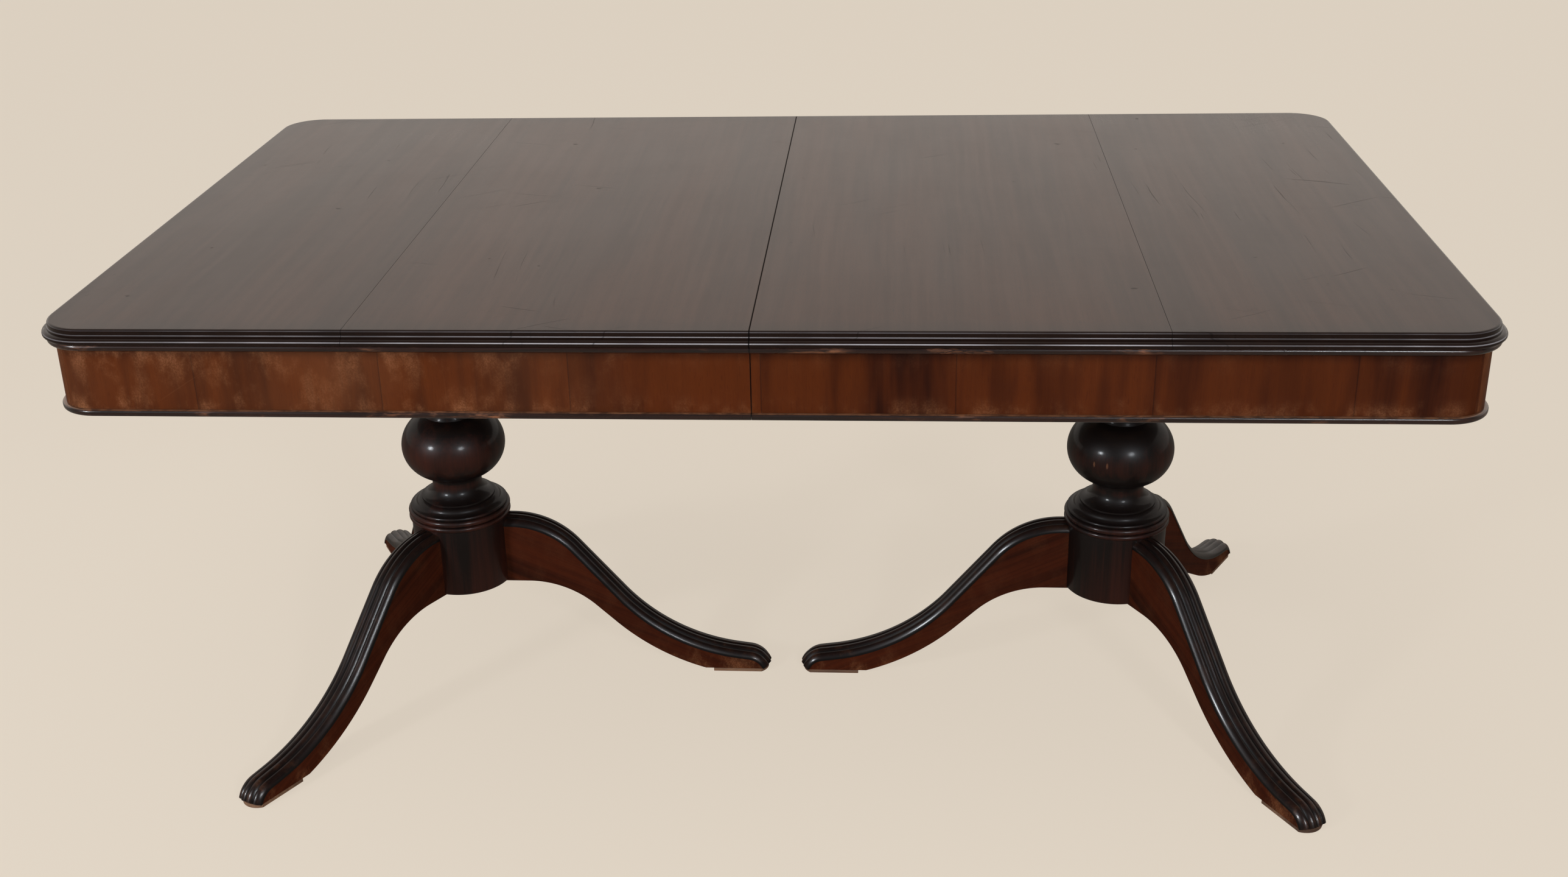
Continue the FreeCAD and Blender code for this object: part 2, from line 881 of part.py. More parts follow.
def boards(peg_play, pin_x, plate_length):
    """Inner and outer board of a half, drawn on the right, with the holes for its pegs and lock."""
    holes = frame_screws(screw_clearance)
    inner_holes = holes + pegs(peg_radius + peg_play, peg_length + 2 * peg_play)
    inner_holes += lock_screws(pin_x, plate_length, screw_clearance)
    seam = seam_gap / 2
    inner = board(half_gap, seam_from_centre - seam, inner_holes)
    outer = board(seam_from_centre + seam, table_length, holes)
    return inner, outer


# Every node of the table

def build_nodes():
    nodes = {}
    inner, outer = boards(peg_loose, lock_pivot, lock_plate_length)
    nodes["left_inner_top_board"] = across(inner)
    nodes["left_outer_top_board"] = across(outer)
    inner, outer = boards(peg_tight, lock_stud, keeper_length)
    nodes["right_inner_top_board"] = inner
    nodes["right_outer_top_board"] = outer
    leg = sabre_leg()
    pad = sole_pad()
    leg_names = ("inner_leg", "front_leg", "back_leg")
    shared = {
        "edge_bead": edge_bead(),
        "apron_bead": apron_bead(),
        "front_rail": front_rail(),
        "back_rail": behind(front_rail()),
        "end_rail": end_rail(),
        "front_corner": front_corner(),
        "back_corner": behind(front_corner()),
        "glue_blocks": glue_blocks(),
        "head_block": head_block(),
        "column": column(),
        "tripod_plate": tripod_plate(),
        "tripod_screws": on_right(Part.makeCompound(plate_screws(0.0))),
        "frame_screws": Part.makeCompound(frame_screws(0.0)),
        "sole_pads": on_right(Part.makeCompound([turned(pad, turn) for turn in leg_turns()])),
    }
    for name, turn in zip(leg_names, leg_turns()):
        shared[name] = on_right(turned(leg, turn))
    for name, shape in shared.items():
        nodes["right_" + name] = shape
        nodes["left_" + name] = across(shape)
    for side, number in (("left", 0), ("right", 2)):
        flip = across if side == "left" else Part.Shape.copy
        y = lane_middle(number)
        nodes[side + "_inner_batten"] = flip(batten(batten_places[0], y))
        nodes[side + "_outer_batten"] = flip(batten(batten_places[1], y))
        nodes[side + "_slide_screws"] = flip(Part.makeCompound(slide_screws(y, 0.0)))
    nodes["left_front_slide"] = left_member()
    nodes["left_back_slide"] = behind(left_member())
    nodes["right_front_slide"] = right_member()
    nodes["right_back_slide"] = behind(right_member())
    nodes["front_runner"] = runner()
    nodes["back_runner"] = behind(runner())
    nodes["alignment_pegs"] = Part.makeCompound(pegs(peg_radius, peg_length))
    nodes["lock_plates"] = across(both_sides(lock_plate(lock_pivot, lock_plate_length)))
    nodes["lock_keepers"] = both_sides(lock_plate(lock_stud, keeper_length))
    nodes["lock_plate_screws"] = across(Part.makeCompound(lock_screws(lock_pivot, lock_plate_length, 0.0)))
    nodes["lock_keeper_screws"] = Part.makeCompound(lock_screws(lock_stud, keeper_length, 0.0))
    nodes["front_lock_lever"] = lock_lever()
    nodes["back_lock_lever"] = behind(lock_lever())
    return nodes


os.makedirs("parts", exist_ok=True)
for node, shape in build_nodes().items():
    shape.exportStep("parts/" + node + ".step")
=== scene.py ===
import math

import bpy
from bpy.props import FloatProperty, FloatVectorProperty, IntProperty, PointerProperty
from mathutils import Matrix, Vector


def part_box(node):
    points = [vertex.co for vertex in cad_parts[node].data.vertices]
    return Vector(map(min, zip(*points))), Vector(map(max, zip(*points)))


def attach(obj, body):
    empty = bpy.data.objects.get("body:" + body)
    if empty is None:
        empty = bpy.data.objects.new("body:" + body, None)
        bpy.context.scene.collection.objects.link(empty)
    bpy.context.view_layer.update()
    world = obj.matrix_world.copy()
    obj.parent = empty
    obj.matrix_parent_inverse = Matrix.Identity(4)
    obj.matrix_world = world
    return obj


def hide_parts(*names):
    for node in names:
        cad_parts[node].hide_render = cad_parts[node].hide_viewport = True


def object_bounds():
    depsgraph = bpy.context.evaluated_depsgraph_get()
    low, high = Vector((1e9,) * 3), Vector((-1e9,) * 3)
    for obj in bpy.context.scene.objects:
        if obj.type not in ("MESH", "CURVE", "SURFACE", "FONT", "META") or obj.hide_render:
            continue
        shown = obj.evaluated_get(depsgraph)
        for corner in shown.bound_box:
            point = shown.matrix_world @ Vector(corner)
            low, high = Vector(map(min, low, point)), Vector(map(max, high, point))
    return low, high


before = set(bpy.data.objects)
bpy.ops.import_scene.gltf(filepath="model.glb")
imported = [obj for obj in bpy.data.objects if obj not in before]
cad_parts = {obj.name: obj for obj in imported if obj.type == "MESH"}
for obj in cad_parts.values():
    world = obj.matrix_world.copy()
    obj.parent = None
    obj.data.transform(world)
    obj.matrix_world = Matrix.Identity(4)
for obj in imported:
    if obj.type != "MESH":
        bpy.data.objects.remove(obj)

bl_info = {
    "name": "Double Pedestal Dining Table",
    "version": (1, 0, 0),
    "blender": (4, 5, 0),
    "location": "View3D > Sidebar > Table",
    "description": "Turns, reeds and polishes an extending table on two tripod pedestals",
    "category": "Object",
}

# Boxes of the packed model, in metres
CAD_BOX = [list(corner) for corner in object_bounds()]
TABLE_HALF = Vector(CAD_BOX[1])
RAIL_LOW, RAIL_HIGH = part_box("right_front_rail")
COLUMN_LOW, COLUMN_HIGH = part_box("right_column")
EDGE_BEAD_LOW, EDGE_BEAD_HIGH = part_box("right_edge_bead")
APRON_BEAD_LOW, APRON_BEAD_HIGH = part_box("right_apron_bead")
BLOCK_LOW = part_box("right_head_block")[0]
PAD_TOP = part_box("right_sole_pads")[1].z
SEAM_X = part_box("right_outer_top_board")[0].x
SIDES = ("left", "right")
TOP_BOARDS = ("inner_top_board", "outer_top_board")

# Meshes: where an edge is sharp, how fine arcs are, and what counts as one point
SHARP_EDGE = math.radians(38.0)
ARC_STEP = 0.0015
POLE_MERGE = 1e-6
STEP_RISE = 2e-5

# Top: corners, insets over which the moulded edge and its grime set in, joints between boards, grime at
# the split, and the painted highlight lines on the ridges of the moulded edge (depth below the top, half
# width of the line, strength)
CORNER_RADIUS = 0.065
EDGE_BAND = (0.0115, 0.0100)
GRIME_BAND = (0.060, 0.008)
SEAM_WIDTH = 0.0006
SPLIT_GRIME = 0.0014
PAINTED_RIDGE_HIGHLIGHTS = ((0.0017, 0.0007, 0.22), (0.0074, 0.0007, 0.55), (0.0132, 0.0009, 0.80))

# Apron veneer: where it turns to the end of the table, past the front rail, the joints between its leaves,
# and its dark flames (place, width, depth) with their lean
CORNER_TURN = (0.030, 0.034)
LEAF_START = 0.012
LEAF_WIDTH = 0.2295
JOINT_WIDTH = 0.0011
FLAME_LEVEL = 0.69
FLAME_LEAN = 0.12
FLAMES = (
    (-0.700, 0.014, 0.35), (-0.594, 0.034, 0.26), (-0.486, 0.022, 0.25),
    (-0.295, 0.030, 0.40), (-0.169, 0.022, 0.35), (0.149, 0.014, 0.45),
    (0.193, 0.026, 0.60), (0.627, 0.018, 0.22), (0.800, 0.040, 0.34),
)
RUBBING_GAIN = 1.4

# Two nicks on the ball of the right column, the fall of the grain along a leg, and the runs of
# scratches (turn, fineness, shift)
CHIPS = ((0.4592, -0.0645, 0.3855), (0.4769, -0.0736, 0.3865))
LEG_FALL = 0.45
SCRATCH_RUNS = ((0.35, 260.0, 0.0), (-0.6, 330.0, 3.1), (1.5, 300.0, 7.7))

# Directions between which the room that polish mirrors goes dim, from the back to the camera's side
ROOM_FADE = (0.30, -0.35)


# Settings

def screen(red, green, blue):
    """Linear colour for a colour as a screen shows it."""
    shown = [value / 255.0 for value in (red, green, blue)]
    return tuple(v / 12.92 if v <= 0.04045 else ((v + 0.055) / 1.055) ** 2.4 for v in shown)


def number(name, description, default, **kind):
    return FloatProperty(name=name, description=description, default=default, **(kind or {"min": 0.0}))


def length(name, description, default):
    return number(name, description, default, unit="LENGTH", precision=4)


def share(name, description, default):
    return number(name, description, default, min=0.0, max=1.0, subtype="FACTOR")


def angle(name, description, degrees):
    return number(name, description, math.radians(degrees), subtype="ANGLE")


def count(name, description, default, low, high):
    return IntProperty(name=name, description=description, default=default, min=low, max=high)


def place(name, description, *spot):
    return FloatVectorProperty(
        name=name, description=description, default=spot, subtype="TRANSLATION", size=3
    )


def tone(name, description, *linear):
    return FloatVectorProperty(
        name=name, description=description, default=linear, subtype="COLOR", size=3, min=0.0, max=1.0
    )


def colour(name, description, *shown):
    return tone(name, description, *screen(*shown))


class TurningSizes(bpy.types.PropertyGroup):
    """Sizes of the turned columns."""
    drum_radius: length("Drum radius", "Radius of the drum that takes the legs", 0.0745)
    drum_height: length("Drum height", "Height of the drum", 0.108)
    lower_ring_radius: length("Lower ring radius", "Widest radius of the ring on the drum", 0.078)
    upper_ring_radius: length("Upper ring radius", "Widest radius of the ring under the collar", 0.078)
    collar_radius: length("Collar radius", "Widest radius of the collar", 0.0745)
    neck_radius: length("Neck radius", "Radius of the neck under the ball", 0.0385)
    ball_radius: length("Ball radius", "Widest radius of the ball", 0.0785)
    ball_height: length("Ball height", "Height of the ball", 0.099)
    cap_radius: length("Cap radius", "Radius of the cap under the head block", 0.060)
    tenon_radius: length("Tenon radius", "Radius of the tenon in the head block", 0.024)
    segments: count("Segments", "Faces around a column", 96, 24, 256)


class LegSizes(bpy.types.PropertyGroup):
    """Sizes of the sabre legs."""
    width: length("Leg width", "Distance between the flat sides", 0.043)
    crown_width: length("Crown width", "Width of the reeded top", 0.045)
    crown_rise: length("Crown rise", "How far the crown arches above its edges", 0.0095)
    crown_sink: length("Crown sink", "How far the crown goes down into the leg", 0.002)
    reed_bulge: length("Reed bulge", "How far a reed swells from the arch", 0.0022)
    reed_count: count("Reeds", "Reeds across the crown", 4, 1, 9)
    reed_steps: count("Reed steps", "Faces across one reed", 8, 3, 24)
    turn_step: angle("Leg spacing", "Angle from one leg to the next", 120.0)


class FittingSizes(bpy.types.PropertyGroup):
    """Sizes of beads and screws."""
    edge_bead_round: length("Edge bead radius", "Rounding of the bead under the top", 0.0043)
    apron_bead_round: length("Apron bead radius", "Rounding of the bead on the apron", 0.00325)
    bead_root: length("Bead root", "How far a bead is let into the apron", 0.0040)
    bead_waver: length("Bead waver", "How far a worn bead strays from its line", 0.0003)
    screw_radius: length("Screw radius", "Radius of a screw's shank", 0.0022)
    screw_head_radius: length("Head radius", "Radius of a screw's countersunk head", 0.0042)
    screw_head_height: length("Head height", "Height of a screw's countersunk head", 0.0026)
    slot_width: length("Slot width", "Width of the slot in a screw head", 0.0010)
    slot_depth: length("Slot depth", "Depth of the slot in a screw head", 0.0011)
    slot_seed: count("Slot seed", "Order of the turns of the slots", 7, 0, 999)


class TableFinish(bpy.types.PropertyGroup):
    """Colours and wear of the wood and metal."""
    top_dark: colour("Top, dark", "Dark streaks of the top", 38, 19, 10)
    top_light: colour("Top, light", "Light streaks of the top", 56, 29, 14)
    edge_dark: colour("Edge", "Built up polish on the mouldings", 17, 12, 11)
    # Painted highlight: the pale lines on the ridges of the moulded edge stand in for lamp glints
    painted_ridge_highlight: colour("Ridge", "Polish rubbed pale on the ridges of the moulded edge", 158, 154, 158)
    apron_dark: colour("Apron, dark", "Dark flame of the apron veneer", 37, 15, 8)
    apron_light: colour("Apron, light", "Light ground of the apron veneer", 74, 33, 12)
    apron_bare: colour("Apron, rubbed", "Rubbed and dusty patches of the apron", 134, 88, 58)
    bare_wood: colour("Bare wood", "Mouldings where the polish is gone", 128, 78, 48)
    bead_red: colour("Bead, red", "Rubbed wood of the beads", 38, 19, 14)
    column_dark: colour("Column, dark", "Polish in the hollows of the columns", 17, 10, 8)
    column_light: colour("Column, light", "Rubbed rounds of the columns", 58, 25, 16)
    leg_dark: colour("Leg, dark", "Dark grain on the sides of the legs", 36, 16, 10)
    leg_light: colour("Leg, light", "Light grain on the sides of the legs", 66, 28, 14)
    reed_dark: colour("Reed, dark", "Hollows between the reeds", 11, 8, 7)
    reed_light: colour("Reed, light", "Crests of the reeds", 30, 17, 14)
    sole_dark: colour("Sole, dark", "Dirty grain of the sole pads", 74, 50, 36)
    sole_light: colour("Sole, light", "Worn grain of the sole pads", 140, 103, 76)
    frame_dark: colour("Underframe, dark", "Dark grain of the battens", 104, 72, 46)
    frame_light: colour("Underframe, light", "Light grain of the battens", 166, 126, 86)
    slide_dark: colour("Slide, dark", "Dark grain of the slides", 128, 92, 60)
    slide_light: colour("Slide, light", "Light grain of the slides", 188, 148, 104)
    iron: colour("Iron", "Plates under the columns", 58, 54, 52)
    rust: colour("Rust", "Rust on iron and steel", 96, 58, 38)
    steel: colour("Steel", "Wood screws", 150, 146, 140)
    brass: colour("Brass", "Table locks", 186, 148, 84)
    tarnish: colour("Tarnish", "Tarnish on the brass", 92, 70, 44)
    scratches: share("Scratches", "How strongly scratches show on the top", 0.50)
    rubbing: share("Rubbing", "How strongly the apron is rubbed", 0.60)


class StudioLight(bpy.types.PropertyGroup):
    """Floor, light and camera."""
    backdrop: colour("Backdrop", "Colour of floor and background", 224, 212, 196)
    floor_half: length("Floor half size", "Half the side of the square floor", 30.0)
    floor_glow: share("Floor glow", "Share of the floor's look that shadows don't reach", 0.86)
    mirror_glow: share("Mirrored glow", "How bright polish shows the floor", 0.30)
    room_light: number("Room light", "Strength of the even light all round", 0.26)
    room_tint: colour("Room tint", "Colour of the room in polish", 236, 227, 218)
    dim_room: share("Dim room", "How bright polish shows the room on the camera's side", 0.12)
    lamp_tint: tone("Lamp tint", "Colour of the two lamps", 0.90, 0.95, 1.0)
    lamp_power: number("Lamp power", "Watts of each of the two lamps", 90.0)
    glint_power: number("Glint power", "Watts of each lamp as polish shows it", 240.0)
    lamp_side: length("Lamp size", "Side of the square lamps", 0.48)
    left_lamp: place("Left lamp", "Place of the left lamp", -2.94, -2.89, 1.80)
    right_lamp: place("Right lamp", "Place of the right lamp", 1.82, -3.94, 2.17)
    lamp_aim: place("Lamp aim", "Place that both lamps point at", 0.0, 0.0, 0.5)
    sky_strength: number("Sky strength", "Strength of the soft light from above", 1.4)
    sky_spread: angle("Sky spread", "Width of the soft light from above", 70.0)
    sky_place: place("Sky", "Where the soft light from above comes from", -0.5, -0.9, 2.4)
    camera_place: place("Camera", "Place of the camera", 0.17373, -2.49706, 1.49642)
    camera_yaw: angle("Camera yaw", "Turn of the camera to the right", -4.943)
    camera_pitch: angle("Camera pitch", "Tilt of the camera downwards", 23.736)
    camera_roll: angle("Camera roll", "Roll of the camera", -1.579)
    focal_pixels: number("Focal length", "Focal length in pixels of the picture", 2981.9)
    centre_pixel: number("Optical centre", "Column of the picture that the lens points at", 1238.8)
    picture_width: number("Picture width", "Width of the picture in pixels", 2576.0)


# Node trees

class Nodes:
    """Adds nodes to a tree, sets their inputs and links sockets."""

    def __init__(self, tree):
        self.tree = tree

    def add(self, kind, values=None, **settings):
        node = self.tree.nodes.new(kind)
        order = len(self.tree.nodes)
        node.location = (210.0 * (order // 6), -180.0 * (order % 6))
        for key, value in settings.items():
            setattr(node, key, value)
        for key, value in (values or {}).items():
            self.put(node.inputs[key], value)
        return node

    def put(self, socket, value):
        if isinstance(value, bpy.types.NodeSocket):
            self.tree.links.new(value, socket)
        elif socket.type == "RGBA":
            socket.default_value = (*value[:3], 1.0)
        else:
            socket.default_value = value

    def shader(self, kind, values=None, **settings):
        return self.add("ShaderNode" + kind, values, **settings).outputs[0]

    def shape(self, kind, values=None, **settings):
        return self.add("GeometryNode" + kind, values, **settings).outputs[0]

    def math(self, operation, first, second=0.0, clamp=False):
        return self.shader("Math", {0: first, 1: second}, operation=operation, use_clamp=clamp)

    def vector(self, operation, first, second):
        return self.shader("VectorMath", {0: first, 1: second}, operation=operation)

    def times(self, product, *factors):
        for factor in factors:
            product = self.math("MULTIPLY", product, factor)
        return product

    def total(self, *terms, clamp=False):
        """Sum of terms, each a value or a tuple of factors."""
        parts = [self.times(*term) if isinstance(term, tuple) else term for term in terms]
        result = parts[0]
        for index, part in enumerate(parts[1:], 2):
            result = self.math("ADD", result, part, clamp and index == len(parts))
        return result

    def minus(self, first, second):
        return self.math("SUBTRACT", first, second)

    def most(self, first, second):
        return self.math("MAXIMUM", first, second)

    def square(self, value):
        return self.math("POWER", value, 2.0)

    def unsigned(self, value):
        return self.math("ABSOLUTE", value)

    def split(self, vector):
        return list(self.add("ShaderNodeSeparateXYZ", {0: vector}).outputs)

    def join(self, x, y, z):
        return self.shader("CombineXYZ", {0: x, 1: y, 2: z})

    def stretch(self, vector, scale, turn=0.0, shift=(0.0, 0.0, 0.0)):
        if turn:
            vector = self.shader("Mapping", {"Vector": vector, "Rotation": (0.0, 0.0, turn)})
        return self.shader("Mapping", {"Vector": vector, "Scale": scale, "Location": shift})

    def noise(self, vector, scale, detail=2.0, roughness=0.55, **moved):
        """Noise at one scale, or at a scale for each axis."""
        scale = scale if isinstance(scale, tuple) else (scale, scale, scale)
        values = {"Vector": self.stretch(vector, scale, **moved), "Scale": 1.0}
        return self.shader("TexNoise", {**values, "Detail": detail, "Roughness": roughness})

    def sway(self, vector, scale, reach, detail=2.0):
        """Offsets that wander to both sides of nothing, up to half the reach."""
        noise = self.add("ShaderNodeTexNoise", {"Vector": vector, "Scale": scale, "Detail": detail})
        centred = self.vector("SUBTRACT", noise.outputs["Color"], (0.5, 0.5, 0.5))
        return self.vector("MULTIPLY", centred, reach)

    def span(self, value, low, high, first=0.0, last=1.0):
        """Smooth step of a value from first to last between low and high."""
        values = {0: value, 1: low, 2: high, 3: first, 4: last}
        return self.shader("MapRange", values, interpolation_type="SMOOTHSTEP")

    def mix(self, factor, first, second):
        return self.add("ShaderNodeMix", {0: factor, 6: first, 7: second}, data_type="RGBA").outputs[2]

    def attribute(self, name):
        return self.add("ShaderNodeAttribute", attribute_name=name).outputs

    def named(self, name, kind="FLOAT"):
        return self.shape("InputNamedAttribute", {"Name": name}, data_type=kind)

    def store(self, geometry, name, value, kind="FLOAT"):
        values = {"Geometry": geometry, "Name": name, "Value": value}
        return self.shape("StoreNamedAttribute", values, data_type=kind, domain="POINT")

    def joined(self, *pieces):
        node = self.add("GeometryNodeJoinGeometry")
        for piece in pieces:
            self.put(node.inputs[0], piece)
        return node.outputs[0]


def open_tree(name, kind, inputs, outputs):
    """New node group with sockets named under their kinds; returns its nodes, inputs and outputs."""
    tree = bpy.data.node_groups.new(name, kind)
    for way, kinds in (("INPUT", inputs), ("OUTPUT", outputs)):
        for socket, keys in kinds.items():
            for key in keys:
                tree.interface.new_socket(key, in_out=way, socket_type="NodeSocket" + socket)
    n = Nodes(tree)
    return n, n.add("NodeGroupInput").outputs, n.add("NodeGroupOutput").inputs


# Shader groups that several finishes share

def mask_tree(name, masks, *sizes):
    """Shader group that makes masks from a place."""
    return open_tree(name, "ShaderNodeTree", {"Vector": ["Place"], "Float": sizes}, {"Float": masks})


def grain_group():
    """Wood grain along Z: streaks, broad figure and pores."""
    n, given, out = mask_tree("wood_grain", ("Streaks", "Figure", "Pores"))
    bend = n.sway(n.stretch(given["Place"], (7.0, 7.0, 2.2)), 1.0, (0.016, 0.016, 0.0))
    bent = n.vector("ADD", given["Place"], bend)
    coarse = n.noise(bent, (95.0, 95.0, 2.6), 3.0, 0.62)
    fine = n.noise(bent, (420.0, 420.0, 7.0))
    n.put(out["Streaks"], n.span(n.total((coarse, 0.65), (fine, 0.35)), 0.34, 0.66))
    n.put(out["Figure"], n.span(n.noise(bent, (11.0, 11.0, 1.3)), 0.34, 0.66))
    n.put(out["Pores"], n.span(n.noise(bent, (1500.0, 1500.0, 75.0), 1.0), 0.60, 0.72))


def wear_group():
    """Handling marks on a surface that lies in X and Y: scratches, rubbing, dents and dull clouds."""
    n, given, out = mask_tree("surface_wear", ("Scratches", "Rubbing", "Dents", "Clouds"))
    spot = given["Place"]
    bent = n.vector("ADD", spot, n.sway(spot, 9.0, (0.012, 0.012, 0.0), 1.0))
    marks = 0.0
    for turn, thin, stray in SCRATCH_RUNS:
        lines = n.noise(bent, (5.0, thin, 1.0), 1.0, turn=turn, shift=(stray, stray, stray))
        patch = n.noise(spot, 5.0, 0.0, turn=turn, shift=(stray, 0.0, stray))
        marks = n.most(n.times(n.span(lines, 0.72, 0.77), n.span(patch, 0.58, 0.68)), marks)
    n.put(out["Scratches"], marks)
    patches = n.noise(spot, (34.0, 21.0, 34.0), 5.0, 0.62)
    grit = n.span(n.noise(spot, (520.0, 430.0, 520.0), 3.0, 0.7), 0.38, 0.66, 0.40)
    n.put(out["Rubbing"], n.times(n.span(patches, 0.44, 0.72), grit))
    n.put(out["Dents"], n.span(n.noise(spot, 42.0), 0.735, 0.775))
    n.put(out["Clouds"], n.span(n.noise(spot, 4.5, 3.0, 0.6), 0.30, 0.70))


def rim_group():
    """How far a place lies in from the round cornered outline of the top."""
    halves = ("Half length", "Half width")
    n, given, out = mask_tree("table_rim", ("Inset",), *halves, "Corner radius")
    radius = given["Corner radius"]
    over = []
    for value, half in zip(n.split(given["Place"]), halves):
        over.append(n.minus(n.unsigned(value), n.minus(given[half], radius)))
    outside = n.math("SQRT", n.total(*[n.square(n.most(part, 0.0)) for part in over]))
    inside = n.math("MINIMUM", n.most(*over), 0.0)
    n.put(out["Inset"], n.minus(radius, n.total(outside, inside)))


# Finishes

class Finish(Nodes):
    """Nodes of a new material, whose principled shader has its even values on its own sockets."""

    def __init__(self, name, **constants):
        self.material = bpy.data.materials.new(name)
        self.material.use_nodes = True
        super().__init__(self.material.node_tree)
        self.sockets = self.tree.nodes["Principled BSDF"].inputs
        for key, value in constants.items():
            self.sockets[key.replace("_", " ")].default_value = value

    def here(self):
        return self.add("ShaderNodeTexCoord").outputs["Object"]

    def group(self, name, spot, **lengths):
        """Masks of a shared group at a place, given as one vector or as three values."""
        vector = spot[0] if len(spot) == 1 else self.join(*spot)
        node = self.add("ShaderNodeGroup", node_tree=bpy.data.node_groups[name])
        for key, value in {"Place": vector, **lengths}.items():
            self.put(node.inputs[key.replace("_", " ")], value)
        return node.outputs

    def grain(self, *spot):
        return self.group("wood_grain", spot)

    def wear(self, *spot):
        return self.group("surface_wear", spot)

    def split_grime(self, x):
        return self.span(self.unsigned(x), SPLIT_GRIME, RAIL_LOW.x)

    def tint(self, base, shade, *mask):
        """Base with a shade over it where the product of the masks is high."""
        return self.mix(self.times(*mask), base, shade)

    def done(self, base, roughness, height, depth):
        """Wires colour, roughness and bumps of the given depth; returns the material."""
        normal = self.shader("Bump", {"Height": height, "Distance": depth, "Strength": 1.0})
        for key, value in (("Base Color", base), ("Roughness", roughness), ("Normal", normal)):
            self.put(self.sockets[key], value)
        return self.material


def top_polish(look):
    """Dull old polish over boards whose grain runs across the table, black on the moulded edge, with painted
    highlight lines along its ridges.
    """
    n = Finish("top_polish", Specular_IOR_Level=0.08, Coat_Roughness=0.12, Coat_IOR=1.20)
    here = n.here()
    x, y, z = n.split(here)
    streaks, figure, pores = n.grain(x, z, y)
    scratches, _, dents, clouds = n.wear(here)
    halves = {"Half_length": TABLE_HALF.x, "Half_width": TABLE_HALF.y}
    inset = n.group("table_rim", [here], Corner_radius=CORNER_RADIUS, **halves)["Inset"]
    edge = n.span(inset, *EDGE_BAND)
    grimy = n.span(inset, *GRIME_BAND)
    away = n.minus(n.unsigned(x), SEAM_X)
    seam = n.span(n.unsigned(away), SEAM_WIDTH, 0.0)
    outer = n.span(away, -SEAM_WIDTH, SEAM_WIDTH)
    split = n.split_grime(x)
    shade = n.total((figure, 0.55), (streaks, 0.45), (outer, -0.18), clamp=True)
    base = n.mix(shade, look.top_dark, look.top_light)
    base = n.tint(base, look.edge_dark, pores, 0.5)
    base = n.tint(base, look.edge_dark, n.most(edge, n.times(grimy, 0.5)), 0.85)
    uneven = n.span(n.noise(here, 5.0, 3.0, 0.6), 0.34, 0.62, 0.30)
    # Painted highlights: thin pale lines along the ridges of the moulded edge, where lamp glints would fall,
    # broken up unevenly
    for level, width, strength in PAINTED_RIDGE_HIGHLIGHTS:
        off = n.unsigned(n.minus(z, TABLE_HALF.z - level))
        base = n.tint(base, look.painted_ridge_highlight, n.span(off, width, width * 0.3), edge, strength, uneven)
    marks = n.times(n.most(scratches, dents), look.scratches)
    marks = n.most(n.most(marks, split), n.times(seam, 0.7))
    base = n.tint(base, look.reed_dark, marks)
    speck = n.noise(here, 640.0, 1.0)
    gloss = n.total((clouds, 0.18), (streaks, 0.08), 0.70, (speck, 0.20))
    n.put(n.sockets["Coat Weight"], n.times(gloss, n.minus(1.0, marks)))
    rough = n.total((clouds, 0.08), 0.42, (edge, -0.18), (split, 0.5), clamp=True)
    height = n.total((n.noise(here, (14.0, 9.0, 9.0)), 0.8), (marks, -0.16), (pores, -0.004))
    return n.done(base, rough, height, depth=0.0008)


def apron_veneer(look):
    """Upright veneer in leaves with dark flames, rubbed pale along its edges, with a painted shadow under the
    bead.
    """
    n = Finish("apron_veneer", IOR=1.45, Specular_IOR_Level=0.03)
    x, y, z = n.split(n.here())
    at_end = n.span(n.minus(n.unsigned(x), RAIL_HIGH.x), *CORNER_TURN)
    along = n.total((y, at_end), (x, n.minus(1.0, at_end)))
    leaf_run = n.math("DIVIDE", n.minus(along, LEAF_START), LEAF_WIDTH)
    chance = n.shader("TexWhiteNoise", {"W": n.math("FLOOR", leaf_run)}, noise_dimensions="1D")
    strayed = n.total(along, (chance, 3.0))
    streaks, _, pores = n.grain(strayed, n.times(y, 0.2), z)
    scratches, rubbing, _, clouds = n.wear(along, z, y)
    broad = n.span(n.noise(n.join(strayed, z, 0.0), (24.0, 3.5, 1.0), 3.0, 0.6), 0.40, 0.66)
    right = n.span(along, -0.10, 0.25)
    flames = [(broad, 0.45), (streaks, 0.16), (chance, 0.12), (right, 0.05)]
    slant = n.times(n.minus(z, FLAME_LEVEL), FLAME_LEAN)
    for centre, width, depth in FLAMES:
        off = n.math("DIVIDE", n.total(along, -centre, slant), width)
        flames.append((n.math("EXPONENT", n.times(n.square(n.unsigned(off)), -1.0)), depth))
    base = n.mix(n.total(*flames, clamp=True), look.apron_light, look.apron_dark)
    base = n.tint(base, look.apron_dark, pores, 0.35)
    gap = n.unsigned(n.minus(n.math("FRACT", leaf_run), 0.5))
    joint = n.span(gap, 0.5 - JOINT_WIDTH / LEAF_WIDTH, 0.5)
    base = n.tint(base, look.edge_dark, joint, 0.55)
    down, up = n.minus(RAIL_HIGH.z, z), n.minus(z, RAIL_LOW.z)
    # Painted shadow: a darker band at the top of the apron, under the overhanging edge and bead, in the dark
    # colour of the reed hollows
    grime_and_shade = n.span(down, 0.024, 0.006, 0.0, 0.62)
    base = n.tint(base, look.reed_dark, n.most(grime_and_shade, n.split_grime(x)))
    low = n.span(up, 0.034, 0.008)
    high = n.span(down, 0.044, 0.020)
    left = n.span(along, 0.0, -0.50)
    base = n.tint(base, look.apron_bare, left, n.total((clouds, 0.12), 0.02))
    worn = n.total((low, 0.45), (high, n.total((left, 0.20), 0.10)), (left, 0.30))
    rubbed = n.math("MULTIPLY", n.times(rubbing, worn), look.rubbing * RUBBING_GAIN, True)
    base = n.tint(base, look.apron_bare, rubbed)
    base = n.tint(base, look.apron_bare, scratches, 0.05)
    rough = n.total((rubbed, 0.30), (clouds, 0.14), 0.34)
    height = n.total((streaks, 0.12), (joint, -0.6), (rubbed, -0.20))
    return n.done(base, rough, height, depth=0.0004)


